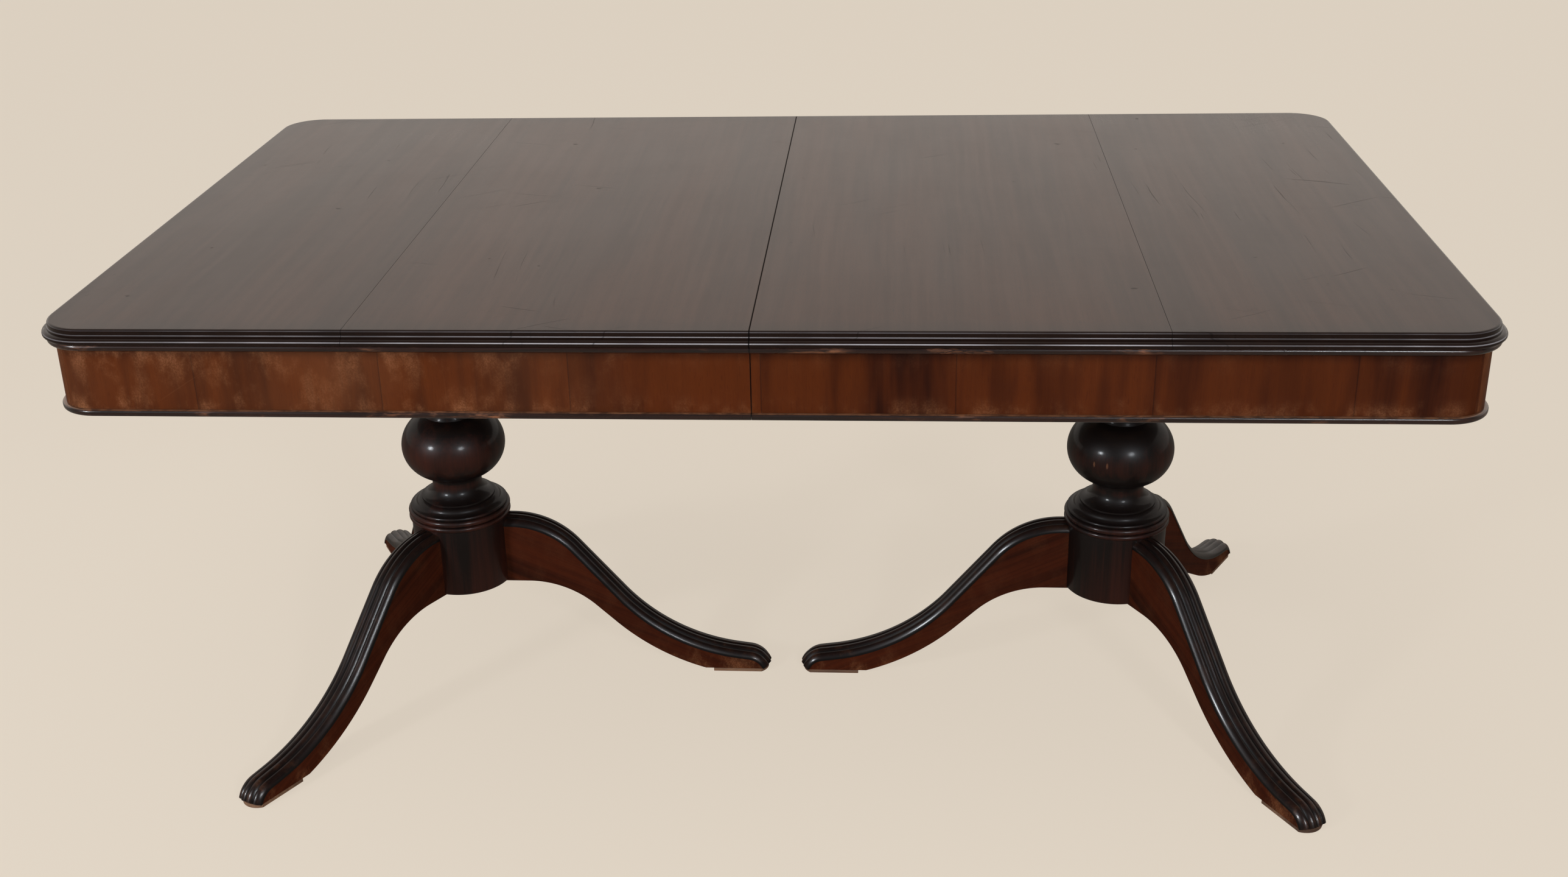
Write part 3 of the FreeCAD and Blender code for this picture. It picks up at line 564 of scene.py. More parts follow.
def bead_polish(look):
    """Black built up polish on the beads, worn through to bare wood in places."""
    n = Finish("bead_polish", Specular_IOR_Level=0.14, Coat_Weight=1.0, Coat_Roughness=0.07)
    here = n.here()
    x, y, z = n.split(here)
    streaks, clouds = n.grain(y, z, x)["Streaks"], n.wear(here)["Clouds"]
    places = n.noise(here, (9.0, 9.0, 30.0), 4.0, 0.6)
    ragged = n.noise(here, (70.0, 70.0, 420.0), 3.0, 0.65)
    bare = n.times(n.span(places, 0.54, 0.68), n.span(ragged, 0.36, 0.70))
    down = n.minus(APRON_BEAD_HIGH.z, z)
    ledge = n.times(n.span(down, 0.0011, 0.0004), n.math("GREATER_THAN", down, -0.001))
    dusty = n.times(ledge, n.span(ragged, 0.34, 0.62, 0.25, 0.9))
    base = n.mix(streaks, look.edge_dark, look.bead_red)
    base = n.tint(base, look.bare_wood, bare, 0.75)
    base = n.tint(base, look.apron_bare, dusty, 0.5)
    base = n.tint(base, look.reed_dark, n.split_grime(x))
    rough = n.total((clouds, 0.12), (bare, 0.30), (dusty, 0.3), 0.22)
    return n.done(base, rough, n.total((streaks, 0.08), (bare, -0.3)), depth=0.0003)


def column_polish(look):
    """Deep glossy polish on the turned columns, black in the hollows."""
    n = Finish("column_polish", Specular_IOR_Level=0.08, Coat_Weight=0.20, Coat_Roughness=0.12)
    here = n.here()
    x, y, z = n.split(here)
    streaks, figure, _ = n.grain(here)
    clouds = n.wear(n.total(x, y), z, y)["Clouds"]
    hollow = n.attribute("hollow")["Fac"]
    shade = n.total((streaks, 0.35), (figure, 0.55), (hollow, -0.6), clamp=True)
    base = n.mix(shade, look.column_dark, look.column_light)
    chip = 0.0
    for spot in CHIPS:
        away = n.vector("MULTIPLY", n.vector("SUBTRACT", here, spot), (1.0, 1.0, 0.36))
        far = n.add("ShaderNodeVectorMath", {0: away}, operation="LENGTH").outputs["Value"]
        chip = n.most(n.span(far, 0.0020, 0.0009), chip)
    base = n.tint(base, look.apron_bare, chip, 0.3)
    rings = n.noise(here, (4.0, 4.0, 900.0), 1.0)
    rough = n.total((clouds, 0.06), (hollow, 0.05), (chip, 0.3), 0.40)
    height = n.total((rings, 0.04), (streaks, 0.04), (chip, -0.8))
    return n.done(base, rough, height, depth=0.0003)


def leg_polish(look):
    """Red brown sides of the legs, with the grain along each leg."""
    n = Finish("leg_polish", IOR=1.5, Specular_IOR_Level=0.01)
    x, y, z = n.split(n.attribute("leg_place")["Vector"])
    streaks, figure, pores = n.grain(n.total(z, (x, LEG_FALL)), y, x)
    _, rubbing, _, clouds = n.wear(x, z, y)
    base = n.mix(n.total((streaks, 0.5), (figure, 0.5)), look.leg_dark, look.leg_light)
    base = n.tint(base, look.leg_dark, pores, 0.5)
    rubbed = n.times(rubbing, n.total((n.span(z, 0.060, 0.008), 0.5), 0.06))
    base = n.tint(base, look.apron_bare, rubbed)
    rough = n.total((clouds, 0.14), (rubbed, 0.4), 0.42)
    return n.done(base, rough, n.total((streaks, 0.15), (rubbed, -0.4)), depth=0.0003)


def reed_polish(look):
    """Nearly black reeds, darkest in the hollows and rubbed on the crests."""
    n = Finish("reed_polish", Specular_IOR_Level=0.10, Coat_Weight=0.20, Coat_Roughness=0.14)
    x, y, z = n.split(n.attribute("leg_place")["Vector"])
    streaks = n.grain(n.total(z, (x, LEG_FALL)), y, x)["Streaks"]
    _, rubbing, _, clouds = n.wear(x, y, z)
    crest = n.attribute("crest")["Fac"]
    shade = n.times(crest, n.total((streaks, 0.6), 0.3))
    base = n.mix(shade, look.reed_dark, look.reed_light)
    rubbed = n.times(rubbing, crest, n.total(n.span(z, 0.055, 0.012), 0.15))
    base = n.tint(base, look.bare_wood, rubbed, 0.55)
    rough = n.total((clouds, 0.12), (rubbed, 0.3), 0.27)
    return n.done(base, rough, n.total((streaks, 0.15), (rubbed, -0.5)), depth=0.0003)


def plain_wood(name, dark, light, grime_and_shade, axis):
    """Unpolished wood with its grain along the given axis, dirty in patches."""
    n = Finish(name, IOR=1.45, Specular_IOR_Level=0.3)
    here = n.here()
    parts = n.split(here)
    streaks, figure, pores = n.grain(*parts[axis + 1:], *parts[:axis + 1])
    clouds = n.wear(here)["Clouds"]
    base = n.mix(n.total((streaks, 0.6), (figure, 0.4)), dark, light)
    base = n.tint(base, dark, pores, 0.5)
    base = n.tint(base, [value * 0.45 for value in dark], clouds, grime_and_shade)
    rough = n.total((streaks, 0.15), 0.60)
    return n.done(base, rough, n.total(streaks, (pores, -0.6)), depth=0.0003)


def old_metal(name, clean, stain, stained, roughness):
    """Metal with stains of rust or tarnish in patches and fine scratches."""
    n = Finish(name)
    here = n.here()
    scratches, _, _, clouds = n.wear(here)
    stains = n.span(n.noise(here, 85.0, 4.0, 0.65), 0.62 - 0.3 * stained, 0.74 - 0.2 * stained)
    base = n.mix(n.times(stains, 0.85), clean, stain)
    n.put(n.sockets["Metallic"], n.total(1.0, (stains, -0.7)))
    rough = n.total((stains, 0.3), (clouds, 0.12), (scratches, 0.15), roughness)
    return n.done(base, rough, n.minus(stains, scratches), depth=0.0001)


def on_both(*names):
    return [side + "_" + name for side in SIDES for name in names]


def dress(material, *names):
    """Gives a finish to nodes of the packed model."""
    for name in names:
        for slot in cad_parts[name].material_slots:
            slot.material = material


# Lines and arcs

def arc_run(start, stop, bulge):
    """Points after start on the arc to stop that swells by bulge to the right of the way there."""
    way = Vector(stop) - Vector(start)
    chord = way.length
    if abs(bulge) < POLE_MERGE:
        return [tuple(stop)]
    radius = (chord * chord / 4 + bulge * bulge) / (2 * abs(bulge))
    reach = math.asin(min(1.0, chord / (2 * radius)))
    steps = max(3, math.ceil(2 * reach * radius / ARC_STEP))
    side = Vector((way.y, -way.x)).normalized() * math.copysign(1.0, bulge)
    middle = (Vector(start) + Vector(stop)) / 2 - side * (radius - abs(bulge))
    points = []
    for i in range(1, steps + 1):
        turn = reach * (2.0 * i / steps - 1.0)
        spot = middle + way.normalized() * radius * math.sin(turn) + side * radius * math.cos(turn)
        points.append((spot.x, spot.y))
    return points


def ring_rows(radius, height):
    """Rows of an outline for a half round ring of the given widest radius."""
    return [(radius - height / 2, 0.0, 0.0), (radius - height / 2, height, height / 2)]


def column_profile(size):
    """Radius and height of the turned outline, from the pole under the drum to the pole of the tenon.

    Each row is the radius at its end, its rise and the bulge of its arc."""
    edge = 0.003
    collar_round = 0.001125
    ball_foot = 0.0400
    cap, cap_cove, shaft_ring = 0.0140, 0.0090, 0.0110
    rows = [
        (size.drum_radius - edge, 0.0, 0.0),
        (size.drum_radius, edge, 0.00044),
        (size.drum_radius, size.drum_height - edge, 0.0),
        *ring_rows(size.lower_ring_radius, 0.0085),
        *ring_rows(size.upper_ring_radius, 0.0100),
        (size.collar_radius - collar_round, 0.0, 0.0),
        (size.collar_radius - collar_round, 4 * collar_round, collar_round),
        (0.0645, 0.0040, -0.0010),
        (0.0560, 0.0065, 0.001625),
        (0.0560, 0.0025, 0.0),
        (size.neck_radius, 0.0140, -0.0035),
        (ball_foot, 0.0195, -0.0015),
        (ball_foot, size.ball_height, size.ball_radius - ball_foot),
        (0.0370, 0.0170, -0.0015),
        *ring_rows(0.0490, 0.0130),
        (0.0410, 0.0, 0.0),
    ]
    shaft_low = COLUMN_LOW.z + sum(row[1] for row in rows)
    shaft = BLOCK_LOW.z - cap - cap_cove - shaft_ring - shaft_low
    rows += [
        (0.0470, 0.27 * shaft, 0.0015),
        (0.0350, 0.73 * shaft, 0.0015),
        *ring_rows(0.0450, shaft_ring),
        (size.cap_radius, cap_cove, -0.00225),
        (size.cap_radius, cap, 0.0),
        (size.tenon_radius, 0.0, 0.0),
        (size.tenon_radius, COLUMN_HIGH.z - BLOCK_LOW.z, 0.0),
        (0.0, 0.0, 0.0),
    ]
    points = [(0.0, COLUMN_LOW.z)]
    for radius, rise, bulge in rows:
        last = points[-1]
        points += arc_run(last, (radius, last[1] + max(rise, STEP_RISE)), bulge)
    return points


def hollows(points):
    """How deep each point of an outline lies below the rounds beside it, from 0 to 1."""
    near = 0.007
    full = 0.006
    depths = []
    for radius, height in points:
        beside = [r for r, h in points if abs(h - height) < near]
        depths.append(min(1.0, max(0.0, (max(beside) - radius) / full)))
    return depths


class Sweep:
    """Smooth path of straights and arcs in the upright plane of a leg, sloping down."""

    def __init__(self, start):
        self.points = [start]
        self.slope = 0.0

    def straight(self, run):
        x, z = self.points[-1]
        self.points.append((x + run * math.cos(self.slope), z - run * math.sin(self.slope)))

    def bend(self, radius, slope):
        swing = radius if slope > self.slope else -radius
        x, z = self.points[-1]
        middle_x, middle_z = x - swing * math.sin(self.slope), z - swing * math.cos(self.slope)
        steps = max(4, math.ceil(abs(slope - self.slope) * radius / (2 * ARC_STEP)))
        for i in range(1, steps + 1):
            turn = self.slope + (slope - self.slope) * i / steps
            self.points.append((middle_x + swing * math.sin(turn), middle_z + swing * math.cos(turn)))
        self.slope = slope

    def fall_to(self, stop, slope):
        """Crest, straight fall and hollow that end at a point with the given slope."""
        steep = 1.5
        ratio = 2.32
        run = stop[0] - self.points[-1][0]
        drop = self.points[-1][1] - stop[1]
        fall = steep * math.atan2(drop, run)
        run_turn = math.sin(fall) + ratio * (math.sin(fall) - math.sin(slope))
        drop_turn = 1 - math.cos(fall) + ratio * (math.cos(slope) - math.cos(fall))
        scale = run_turn * math.sin(fall) - drop_turn * math.cos(fall)
        radius = (run * math.sin(fall) - drop * math.cos(fall)) / scale
        self.bend(radius, fall)
        self.straight((run_turn * drop - drop_turn * run) / scale)
        self.bend(ratio * radius, slope)


def leg_outline(leg, drum_radius, drum_height):
    """Upper and lower edge of a leg's flat sides, from inside the drum to the toe and the heel."""
    into_drum, crown_gap, middle_gap = 0.014, 0.0003, 0.023
    crest_flat, under_flat, sole_length = 0.0065, 0.0305, 0.092
    slope, turn, heel_slope = math.radians(8.0), math.radians(70.0), math.radians(17.0)
    toe_radius, toe_length = 0.028, 0.020
    root = drum_radius - into_drum
    high = COLUMN_LOW.z + drum_height - leg.crown_rise - leg.reed_bulge - crown_gap
    reach = (COLUMN_LOW.x + COLUMN_HIGH.x) / 2 - middle_gap - leg.crown_rise - leg.reed_bulge
    toe_x = reach - toe_radius * (math.sin(turn) - math.sin(slope))
    toe_z = PAD_TOP + toe_radius * (math.cos(slope) - math.cos(turn))
    crest = Sweep((root, high))
    crest.straight(drum_radius + crest_flat - root)
    crest.fall_to((toe_x - toe_length * math.cos(slope), toe_z + toe_length * math.sin(slope)), slope)
    crest.straight(toe_length)
    crest.bend(toe_radius, turn)
    under = Sweep((root, COLUMN_LOW.z))
    under.straight(drum_radius + under_flat - root)
    under.fall_to((reach - sole_length, PAD_TOP), heel_slope)
    return crest.points, under.points


def half_outline(inset, side):
    """Way round one half of the table, front to back, at a distance in from its edge."""
    side_steps, corner_steps, end_steps = 60, 18, 70
    radius = CORNER_RADIUS - inset
    corner_x, corner_y = TABLE_HALF.x - CORNER_RADIUS, TABLE_HALF.y - CORNER_RADIUS
    run = corner_x - RAIL_LOW.x
    points = [(RAIL_LOW.x + run * i / side_steps, -corner_y - radius) for i in range(side_steps)]
    for i in range(corner_steps + 1):
        turn = math.pi / 2 * i / corner_steps
        points.append((corner_x + radius * math.sin(turn), -corner_y - radius * math.cos(turn)))
    front = list(points)
    points += [(corner_x + radius, -corner_y + 2 * corner_y * i / end_steps) for i in range(1, end_steps)]
    points += [(x, -y) for x, y in reversed(front)]
    return [(side * x, y) for x, y in points]


# Geometry trees

def shape_tree(name, **inputs):
    """Geometry group with inputs named under their kinds."""
    whole = {"Geometry": ["Geometry"]}
    return open_tree(name, "GeometryNodeTree", {**whole, **inputs}, whole)


def finish_tree(n, out, geometry, *finishes):
    """Smooth faces with sharp corners, then real geometry with its materials; returns the tree."""
    smooth = n.shape("SetShadeSmooth", {0: geometry, "Shade Smooth": True}, domain="FACE")
    bend = {0: n.shape("InputMeshEdgeAngle"), 1: SHARP_EDGE}
    crisp = n.add("FunctionNodeCompare", bend, data_type="FLOAT", operation="GREATER_THAN").outputs[0]
    sharp = n.shape("SetShadeSmooth", {0: smooth, "Selection": crisp, "Shade Smooth": False}, domain="EDGE")
    made = n.shape("RealizeInstances", {0: sharp})
    for material, where in finishes:
        made = n.shape("SetMaterial", {"Geometry": made, "Selection": where, "Material": material})
    n.put(out[0], made)
    return n.tree


def turning_tree():
    """Spins an upright line of points, each with its own radius, into a closed turned form."""
    n, given, out = shape_tree("turned_form", Int=["Segments"], Material=["Material"])
    line = n.shape("MeshToCurve", {"Mesh": given["Geometry"]})
    ring = n.shape("CurvePrimitiveCircle", {"Resolution": given["Segments"], "Radius": 1.0})
    skin = n.shape("CurveToMesh", {"Curve": line, "Profile Curve": ring, "Scale": n.named("turn_radius")})
    closed = n.shape("MergeByDistance", {"Geometry": skin, "Distance": POLE_MERGE})
    return finish_tree(n, out, closed, (given["Material"], True))


def reed_profile(n, given):
    """Closed section of the crown: reeds over an arch, with both ends sunk into the leg."""
    spare = 3.0
    tally = n.total((given["Reeds"], given["Reed steps"]), spare)
    bar = n.shape("CurvePrimitiveLine", {"Start": (0.0, 0.0, 0.0), "End": (1.0, 0.0, 0.0)})
    points = n.shape("ResampleCurve", {"Curve": bar, "Count": tally}, mode="COUNT")
    last = n.minus(tally, spare)
    index = n.shape("InputIndex")
    step = n.math("MINIMUM", n.most(n.minus(index, 1.0), 0.0), last)
    part = n.math("DIVIDE", step, last)
    half = n.times(given["Crown width"], 0.5)
    across = n.times(n.total((part, 2.0), -1.0), half)
    rise = given["Crown rise"]
    arch = n.math("DIVIDE", n.total(n.square(half), n.square(rise)), n.times(rise, 2.0))
    drop = n.math("SQRT", n.minus(n.square(arch), n.square(across)))
    phase = n.math("FRACT", n.total((part, given["Reeds"]), 1e-4))
    swell = n.math("POWER", n.most(n.math("SINE", n.times(phase, math.pi)), 0.0), 0.75)
    height = n.total(n.minus(drop, arch), rise, (swell, given["Reed bulge"]))
    ends = n.total(n.math("LESS_THAN", index, 0.5), n.math("GREATER_THAN", index, n.total(last, 1.5)))
    height = n.minus(height, n.times(ends, given["Crown sink"]))
    spot = n.join(n.times(across, -1.0), n.times(height, -1.0), 0.0)
    section = n.shape("SetPosition", {"Geometry": points, "Position": spot})
    section = n.store(section, "crest", swell)
    return n.shape("SetSplineCyclic", {"Geometry": section, "Cyclic": True})


def leg_tree():
    """Makes a flat sided leg from its outline, sweeps the reeded crown along it and sets three in a ring."""
    n, given, out = shape_tree(
        "sabre_legs",
        Float=["Leg width", "Crown width", "Crown rise", "Crown sink", "Reed bulge"]
        + ["First turn", "Leg spacing", "Sole"],
        Int=["Reeds", "Reed steps"],
        Vector=["Column"],
        Material=["Side material", "Crown material"],
    )
    sheet, width = given["Geometry"], given["Leg width"]
    push = {"Mesh": sheet, "Offset": n.join(0.0, width, 0.0), "Offset Scale": 1.0, "Individual": False}
    body = n.joined(n.shape("ExtrudeMesh", push, mode="FACES"), n.shape("FlipFaces", {0: sheet}))
    shift = n.join(0.0, n.times(width, -0.5), 0.0)
    moved = n.shape("SetPosition", {"Geometry": body, "Offset": shift})
    sides = n.shape("MergeByDistance", {"Geometry": moved, "Distance": POLE_MERGE})
    path = n.shape("MeshToCurve", {"Mesh": sheet, "Selection": n.named("crest_edge", "BOOLEAN")})
    upright = n.shape("SetCurveNormal", {0: path}, mode="Z_UP")
    section = {"Profile Curve": reed_profile(n, given), "Fill Caps": True}
    crown = n.shape("FlipFaces", {0: n.shape("CurveToMesh", {"Curve": upright, **section})})
    leg = n.joined(sides, n.store(crown, "reeded", 1.0))
    x, y, z = n.split(n.shape("InputPosition"))
    stood = n.shape("SetPosition", {"Geometry": leg, "Position": n.join(x, y, n.most(z, given["Sole"]))})
    marked = n.store(stood, "leg_place", n.shape("InputPosition"), "FLOAT_VECTOR")
    hubs = n.shape("Points", {"Count": 3, "Position": given["Column"]})
    turn = n.total(given["First turn"], (n.shape("InputIndex"), given["Leg spacing"]))
    facing = n.add("FunctionNodeEulerToRotation", {0: n.join(0.0, 0.0, turn)}).outputs[0]
    legs = n.shape("InstanceOnPoints", {"Points": hubs, "Instance": marked, "Rotation": facing})
    real = n.shape("RealizeInstances", {0: legs})
    reeded = n.math("GREATER_THAN", n.named("reeded"), 0.5)
    return finish_tree(n, out, real, (given["Side material"], True), (given["Crown material"], reeded))


def bead_tree():
    """Runs a round edged bead along a line, with the small waver of a worn moulding."""
    waver_scale, round_steps = 16.0, 8
    lengths = ["Depth", "Height", "Rounding", "Bead waver"]
    n, given, out = shape_tree("bead_run", Float=lengths, Material=["Material"])
    line = n.shape("MeshToCurve", {"Mesh": given["Geometry"]})
    reach = n.join(0.0, given["Bead waver"], given["Bead waver"])
    stray = n.sway(n.shape("InputPosition"), waver_scale, reach)
    bent = n.shape("SetPosition", {"Geometry": line, "Offset": stray})
    upright = n.shape("SetCurveNormal", {0: bent}, mode="Z_UP")
    plate = n.shape("CurvePrimitiveQuadrilateral", {"Width": given["Depth"], "Height": given["Height"]})
    corners = {"Radius": given["Rounding"], "Limit Radius": True, "Count": round_steps}
    section = n.shape("FilletCurve", {"Curve": plate, **corners}, mode="POLY")
    run = n.shape("CurveToMesh", {"Curve": upright, "Profile Curve": section, "Fill Caps": True})
    return finish_tree(n, out, run, (given["Material"], True))


def screw_tree():
    """Sets a slotted screw at each point, as long as the point says, its slot turned at random."""
    head_faces, shank_faces = 24, 12
    lengths = ["Screw radius", "Head radius", "Head height", "Slot width", "Slot depth"]
    n, given, out = shape_tree("slotted_screws", Float=lengths, Int=["Slot seed"], Material=["Material"])
    shank, wide, high, slot_width, slot_depth = (given[key] for key in lengths)
    cone = {"Radius Top": shank, "Radius Bottom": wide, "Depth": high}
    head = n.shape("MeshCone", {"Vertices": head_faces, **cone})
    block = n.join(n.times(wide, 3.0), slot_width, n.times(slot_depth, 2.0))
    cut = n.shape("MeshBoolean", {0: head, 1: n.shape("MeshCube", {"Size": block})}, operation="DIFFERENCE")
    rod = n.shape("MeshCylinder", {"Vertices": shank_faces, "Radius": shank, "Depth": 1.0})
    lifted = n.shape("Transform", {"Geometry": rod, "Translation": (0.0, 0.0, 0.5)})
    half_turn = {2: 0.0, 3: math.pi, "Seed": given["Slot seed"]}
    chance = n.add("FunctionNodeRandomValue", half_turn, data_type="FLOAT").outputs[1]
    turn = n.add("FunctionNodeEulerToRotation", {0: n.join(0.0, 0.0, chance)}).outputs[0]
    points = n.shape("MeshToPoints", {"Mesh": given["Geometry"]})
    heads = n.shape("InstanceOnPoints", {"Points": points, "Instance": cut, "Rotation": turn})
    size = n.join(1.0, 1.0, n.minus(n.named("screw_length"), high))
    rods = n.shape("InstanceOnPoints", {"Points": points, "Instance": lifted, "Scale": size})
    raised = n.shape("TranslateInstances", {"Instances": rods, "Translation": n.join(0.0, 0.0, high)})
    real = n.shape("RealizeInstances", {0: n.joined(heads, raised)})
    return finish_tree(n, out, real, (given["Material"], True))


def stand(name, data):
    """New object in the scene."""
    made = bpy.data.objects.new(name, data)
    bpy.context.scene.collection.objects.link(made)
    return made


def start_mesh(name, points, edges, faces, **numbers):
    """Mesh for a tree to grow from, with a number at each point under each name."""
    mesh = bpy.data.meshes.new(name)
    mesh.from_pydata(points, edges, faces)
    mesh.update(calc_edges=True)
    for key, values in numbers.items():
        mesh.attributes.new(key, "FLOAT", "POINT").data.foreach_set("value", values)
    return mesh


def chain(points):
    return [(i, i + 1) for i in range(len(points) - 1)]


def sizes(group):
    """Values of a group of settings, by the names that they share with the trees' inputs."""
    known = group.bl_rna.properties
    return {known[key].name: getattr(group, key) for key in type(group).__annotations__}


def grow(name, mesh, tree, values, body, slot, *nodes):
    """Runs a tree on a mesh and leaves the result as a plain piece that stands for CAD nodes."""
    piece = stand(name, mesh)
    modifier = piece.modifiers.new(tree.name, "NODES")
    modifier.node_group = tree
    for item in tree.interface.items_tree:
        if item.in_out == "INPUT" and item.name in values:
            modifier[item.identifier] = values[item.name]
    graph = bpy.context.evaluated_depsgraph_get()
    made = bpy.data.meshes.new_from_object(piece.evaluated_get(graph))
    piece.modifiers.clear()
    piece.data = made
    made.name = name
    if not made.polygons:
        raise RuntimeError(name + " came out empty")
    for index in reversed(range(len(made.materials))):
        if made.materials[index] is None:
            made.materials.pop(index=index)
    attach(piece, body)
    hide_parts(*nodes)


def screw_spots(nodes):
    """Foot and length of every upright screw in the given nodes."""
    apart = 0.010
    spots = []
    for node in nodes:
        found = []
        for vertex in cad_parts[node].data.vertices:
            x, y, z = vertex.co
            for members in found:
                if abs(members[0][0] - x) < apart and abs(members[0][1] - y) < apart:
                    members.append((x, y, z))
                    break
            else:
                found.append([(x, y, z)])
        for members in found:
            low, high = [tuple(map(end, zip(*members))) for end in (min, max)]
            spots.append(((low[0] + high[0]) / 2, (low[1] + high[1]) / 2, low[2], high[2] - low[2]))
    return spots


# Operators

class TABLE_OT_finish_top(bpy.types.Operator):
    """Polish the four boards of the top with their moulded edge"""
    bl_idname = "table.finish_top"
    bl_label = "Finish Top"

    def execute(self, context):
        dress(top_polish(context.scene.table_finish), *on_both(*TOP_BOARDS))
        return {"FINISHED"}


class TABLE_OT_finish_apron(bpy.types.Operator):
    """Veneer the rails and corners of the apron"""
    bl_idname = "table.finish_apron"
    bl_label = "Finish Apron"

    def execute(self, context):
        names = on_both("front_rail", "back_rail", "end_rail", "front_corner", "back_corner")
        dress(apron_veneer(context.scene.table_finish), *names)
        return {"FINISHED"}


class TABLE_OT_run_beads(bpy.types.Operator):
    """Run the worn beads under the top and along the lower edge of the apron"""
    bl_idname = "table.run_beads"
    bl_label = "Run Beads"

    def execute(self, context):
        size = context.scene.fitting_sizes
        finish = bead_polish(context.scene.table_finish)
        tree = bead_tree()
        runs = (
            ("edge_bead", EDGE_BEAD_LOW, EDGE_BEAD_HIGH, size.edge_bead_round),
            ("apron_bead", APRON_BEAD_LOW, APRON_BEAD_HIGH, size.apron_bead_round),
        )
        for name, low, high, rounding in runs:
            outer = TABLE_HALF.x - high.x
            depth = TABLE_HALF.y + RAIL_LOW.y - outer + size.bead_root
            run = {"Depth": depth, "Height": high.z - low.z, "Rounding": rounding, "Material": finish}
            values = {**sizes(size), **run}
            level = (low.z + high.z) / 2
            for side, sign in zip(SIDES, (-1.0, 1.0)):
                points = [(x, y, level) for x, y in half_outline(outer + depth / 2, sign)]
                mesh = start_mesh(name, points, chain(points), [])
                node = side + "_" + name
                grow(node + "_run", mesh, tree, values, side + "_half", "moulding_mahogany", node)
        return {"FINISHED"}


class TABLE_OT_turn_columns(bpy.types.Operator):
    """Turn the two columns with their drum, rings, collar, ball and shaft"""
    bl_idname = "table.turn_columns"
    bl_label = "Turn Columns"

    def execute(self, context):
        size = context.scene.turning_sizes
        values = {**sizes(size), "Material": column_polish(context.scene.table_finish)}
        tree = turning_tree()
        outline = column_profile(size)
        radii = [radius for radius, _ in outline]
        depths = hollows(outline)
        for side in SIDES:
            node = side + "_column"
            low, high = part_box(node)
            middle = (low + high) / 2
            points = [(middle.x, middle.y, height) for _, height in outline]
            mesh = start_mesh(node, points, chain(points), [], turn_radius=radii, hollow=depths)
            grow(node + "_turned", mesh, tree, values, side + "_half", "turned_mahogany", node)
        return {"FINISHED"}


class TABLE_OT_sweep_legs(bpy.types.Operator):
    """Shape the six sabre legs and sweep the reeds along them"""
    bl_idname = "table.sweep_legs"
    bl_label = "Sweep Legs"

    def execute(self, context):
        look, leg, drum = context.scene.table_finish, context.scene.leg_sizes, context.scene.turning_sizes
        tree = leg_tree()
        finishes = {"Side material": leg_polish(look), "Crown material": reed_polish(look)}
        values = {**sizes(leg), **finishes, "Sole": PAD_TOP}
        crest, under = leg_outline(leg, drum.drum_radius, drum.drum_height)
        points = [(x, 0.0, z) for x, z in crest + list(reversed(under))]
        for side, first in zip(SIDES, (0.0, math.pi)):
            mesh = start_mesh(side + "_legs", points, [], [list(range(len(points)))])
            flags = mesh.attributes.new("crest_edge", "BOOLEAN", "EDGE")
            for edge in mesh.edges:
                low, high = sorted(edge.vertices)
                flags.data[edge.index].value = high < len(crest) and high - low == 1
            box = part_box(side + "_column")
            column = ((box[0].x + box[1].x) / 2, (box[0].y + box[1].y) / 2, 0.0)
            values.update({"Column": column, "First turn": first})
            nodes = [side + "_" + name for name in ("inner_leg", "front_leg", "back_leg")]
            grow(side + "_reeded_legs", mesh, tree, values, side + "_half", "leg_mahogany", *nodes)
        return {"FINISHED"}


class TABLE_OT_fit_screws(bpy.types.Operator):
    """Set the slotted screws of the underframe, the plates and the locks"""
    bl_idname = "table.fit_screws"
    bl_label = "Fit Screws"

    def execute(self, context):
        look = context.scene.table_finish
        finish = old_metal("screw_steel_old", look.steel, look.rust, stained=0.45, roughness=0.34)
        values = {**sizes(context.scene.fitting_sizes), "Material": finish}
        tree = screw_tree()
        for side, lock in zip(SIDES, ("lock_plate_screws", "lock_keeper_screws")):
            nodes = [side + "_" + name for name in ("frame_screws", "slide_screws", "tripod_screws")] + [lock]
            spots = screw_spots(nodes)
            points = [spot[:3] for spot in spots]
            mesh = start_mesh(side + "_screws", points, [], [], screw_length=[spot[3] for spot in spots])
            grow(side + "_slotted_screws", mesh, tree, values, side + "_half", "screw_steel", *nodes)
        return {"FINISHED"}


class TABLE_OT_finish_underframe(bpy.types.Operator):
    """Finish soles, battens, blocks, slides, plates and locks under the top"""
    bl_idname = "table.finish_underframe"
    bl_label = "Finish Underframe"

    def execute(self, context):
        look = context.scene.table_finish
        sole = plain_wood("sole_wood_worn", look.sole_dark, look.sole_light, grime_and_shade=0.5, axis=0)
        dress(sole, *on_both("sole_pads"))
        across = plain_wood("batten_wood", look.frame_dark, look.frame_light, grime_and_shade=0.35, axis=1)
        dress(across, *on_both("inner_batten", "outer_batten"))
        along = plain_wood("block_wood", look.frame_dark, look.frame_light, grime_and_shade=0.35, axis=0)
        dress(along, *on_both("head_block", "glue_blocks"))
        slide = plain_wood("slide_wood_waxed", look.slide_dark, look.slide_light, grime_and_shade=0.30, axis=0)
        dress(slide, "front_runner", "back_runner", "alignment_pegs", *on_both("front_slide", "back_slide"))
        iron = old_metal("plate_iron_old", look.iron, look.rust, stained=0.7, roughness=0.52)
        dress(iron, *on_both("tripod_plate"))
        brass = old_metal("lock_brass_old", look.brass, look.tarnish, stained=0.6, roughness=0.30)
        dress(brass, "lock_plates", "lock_keepers", "front_lock_lever", "back_lock_lever")
        return {"FINISHED"}


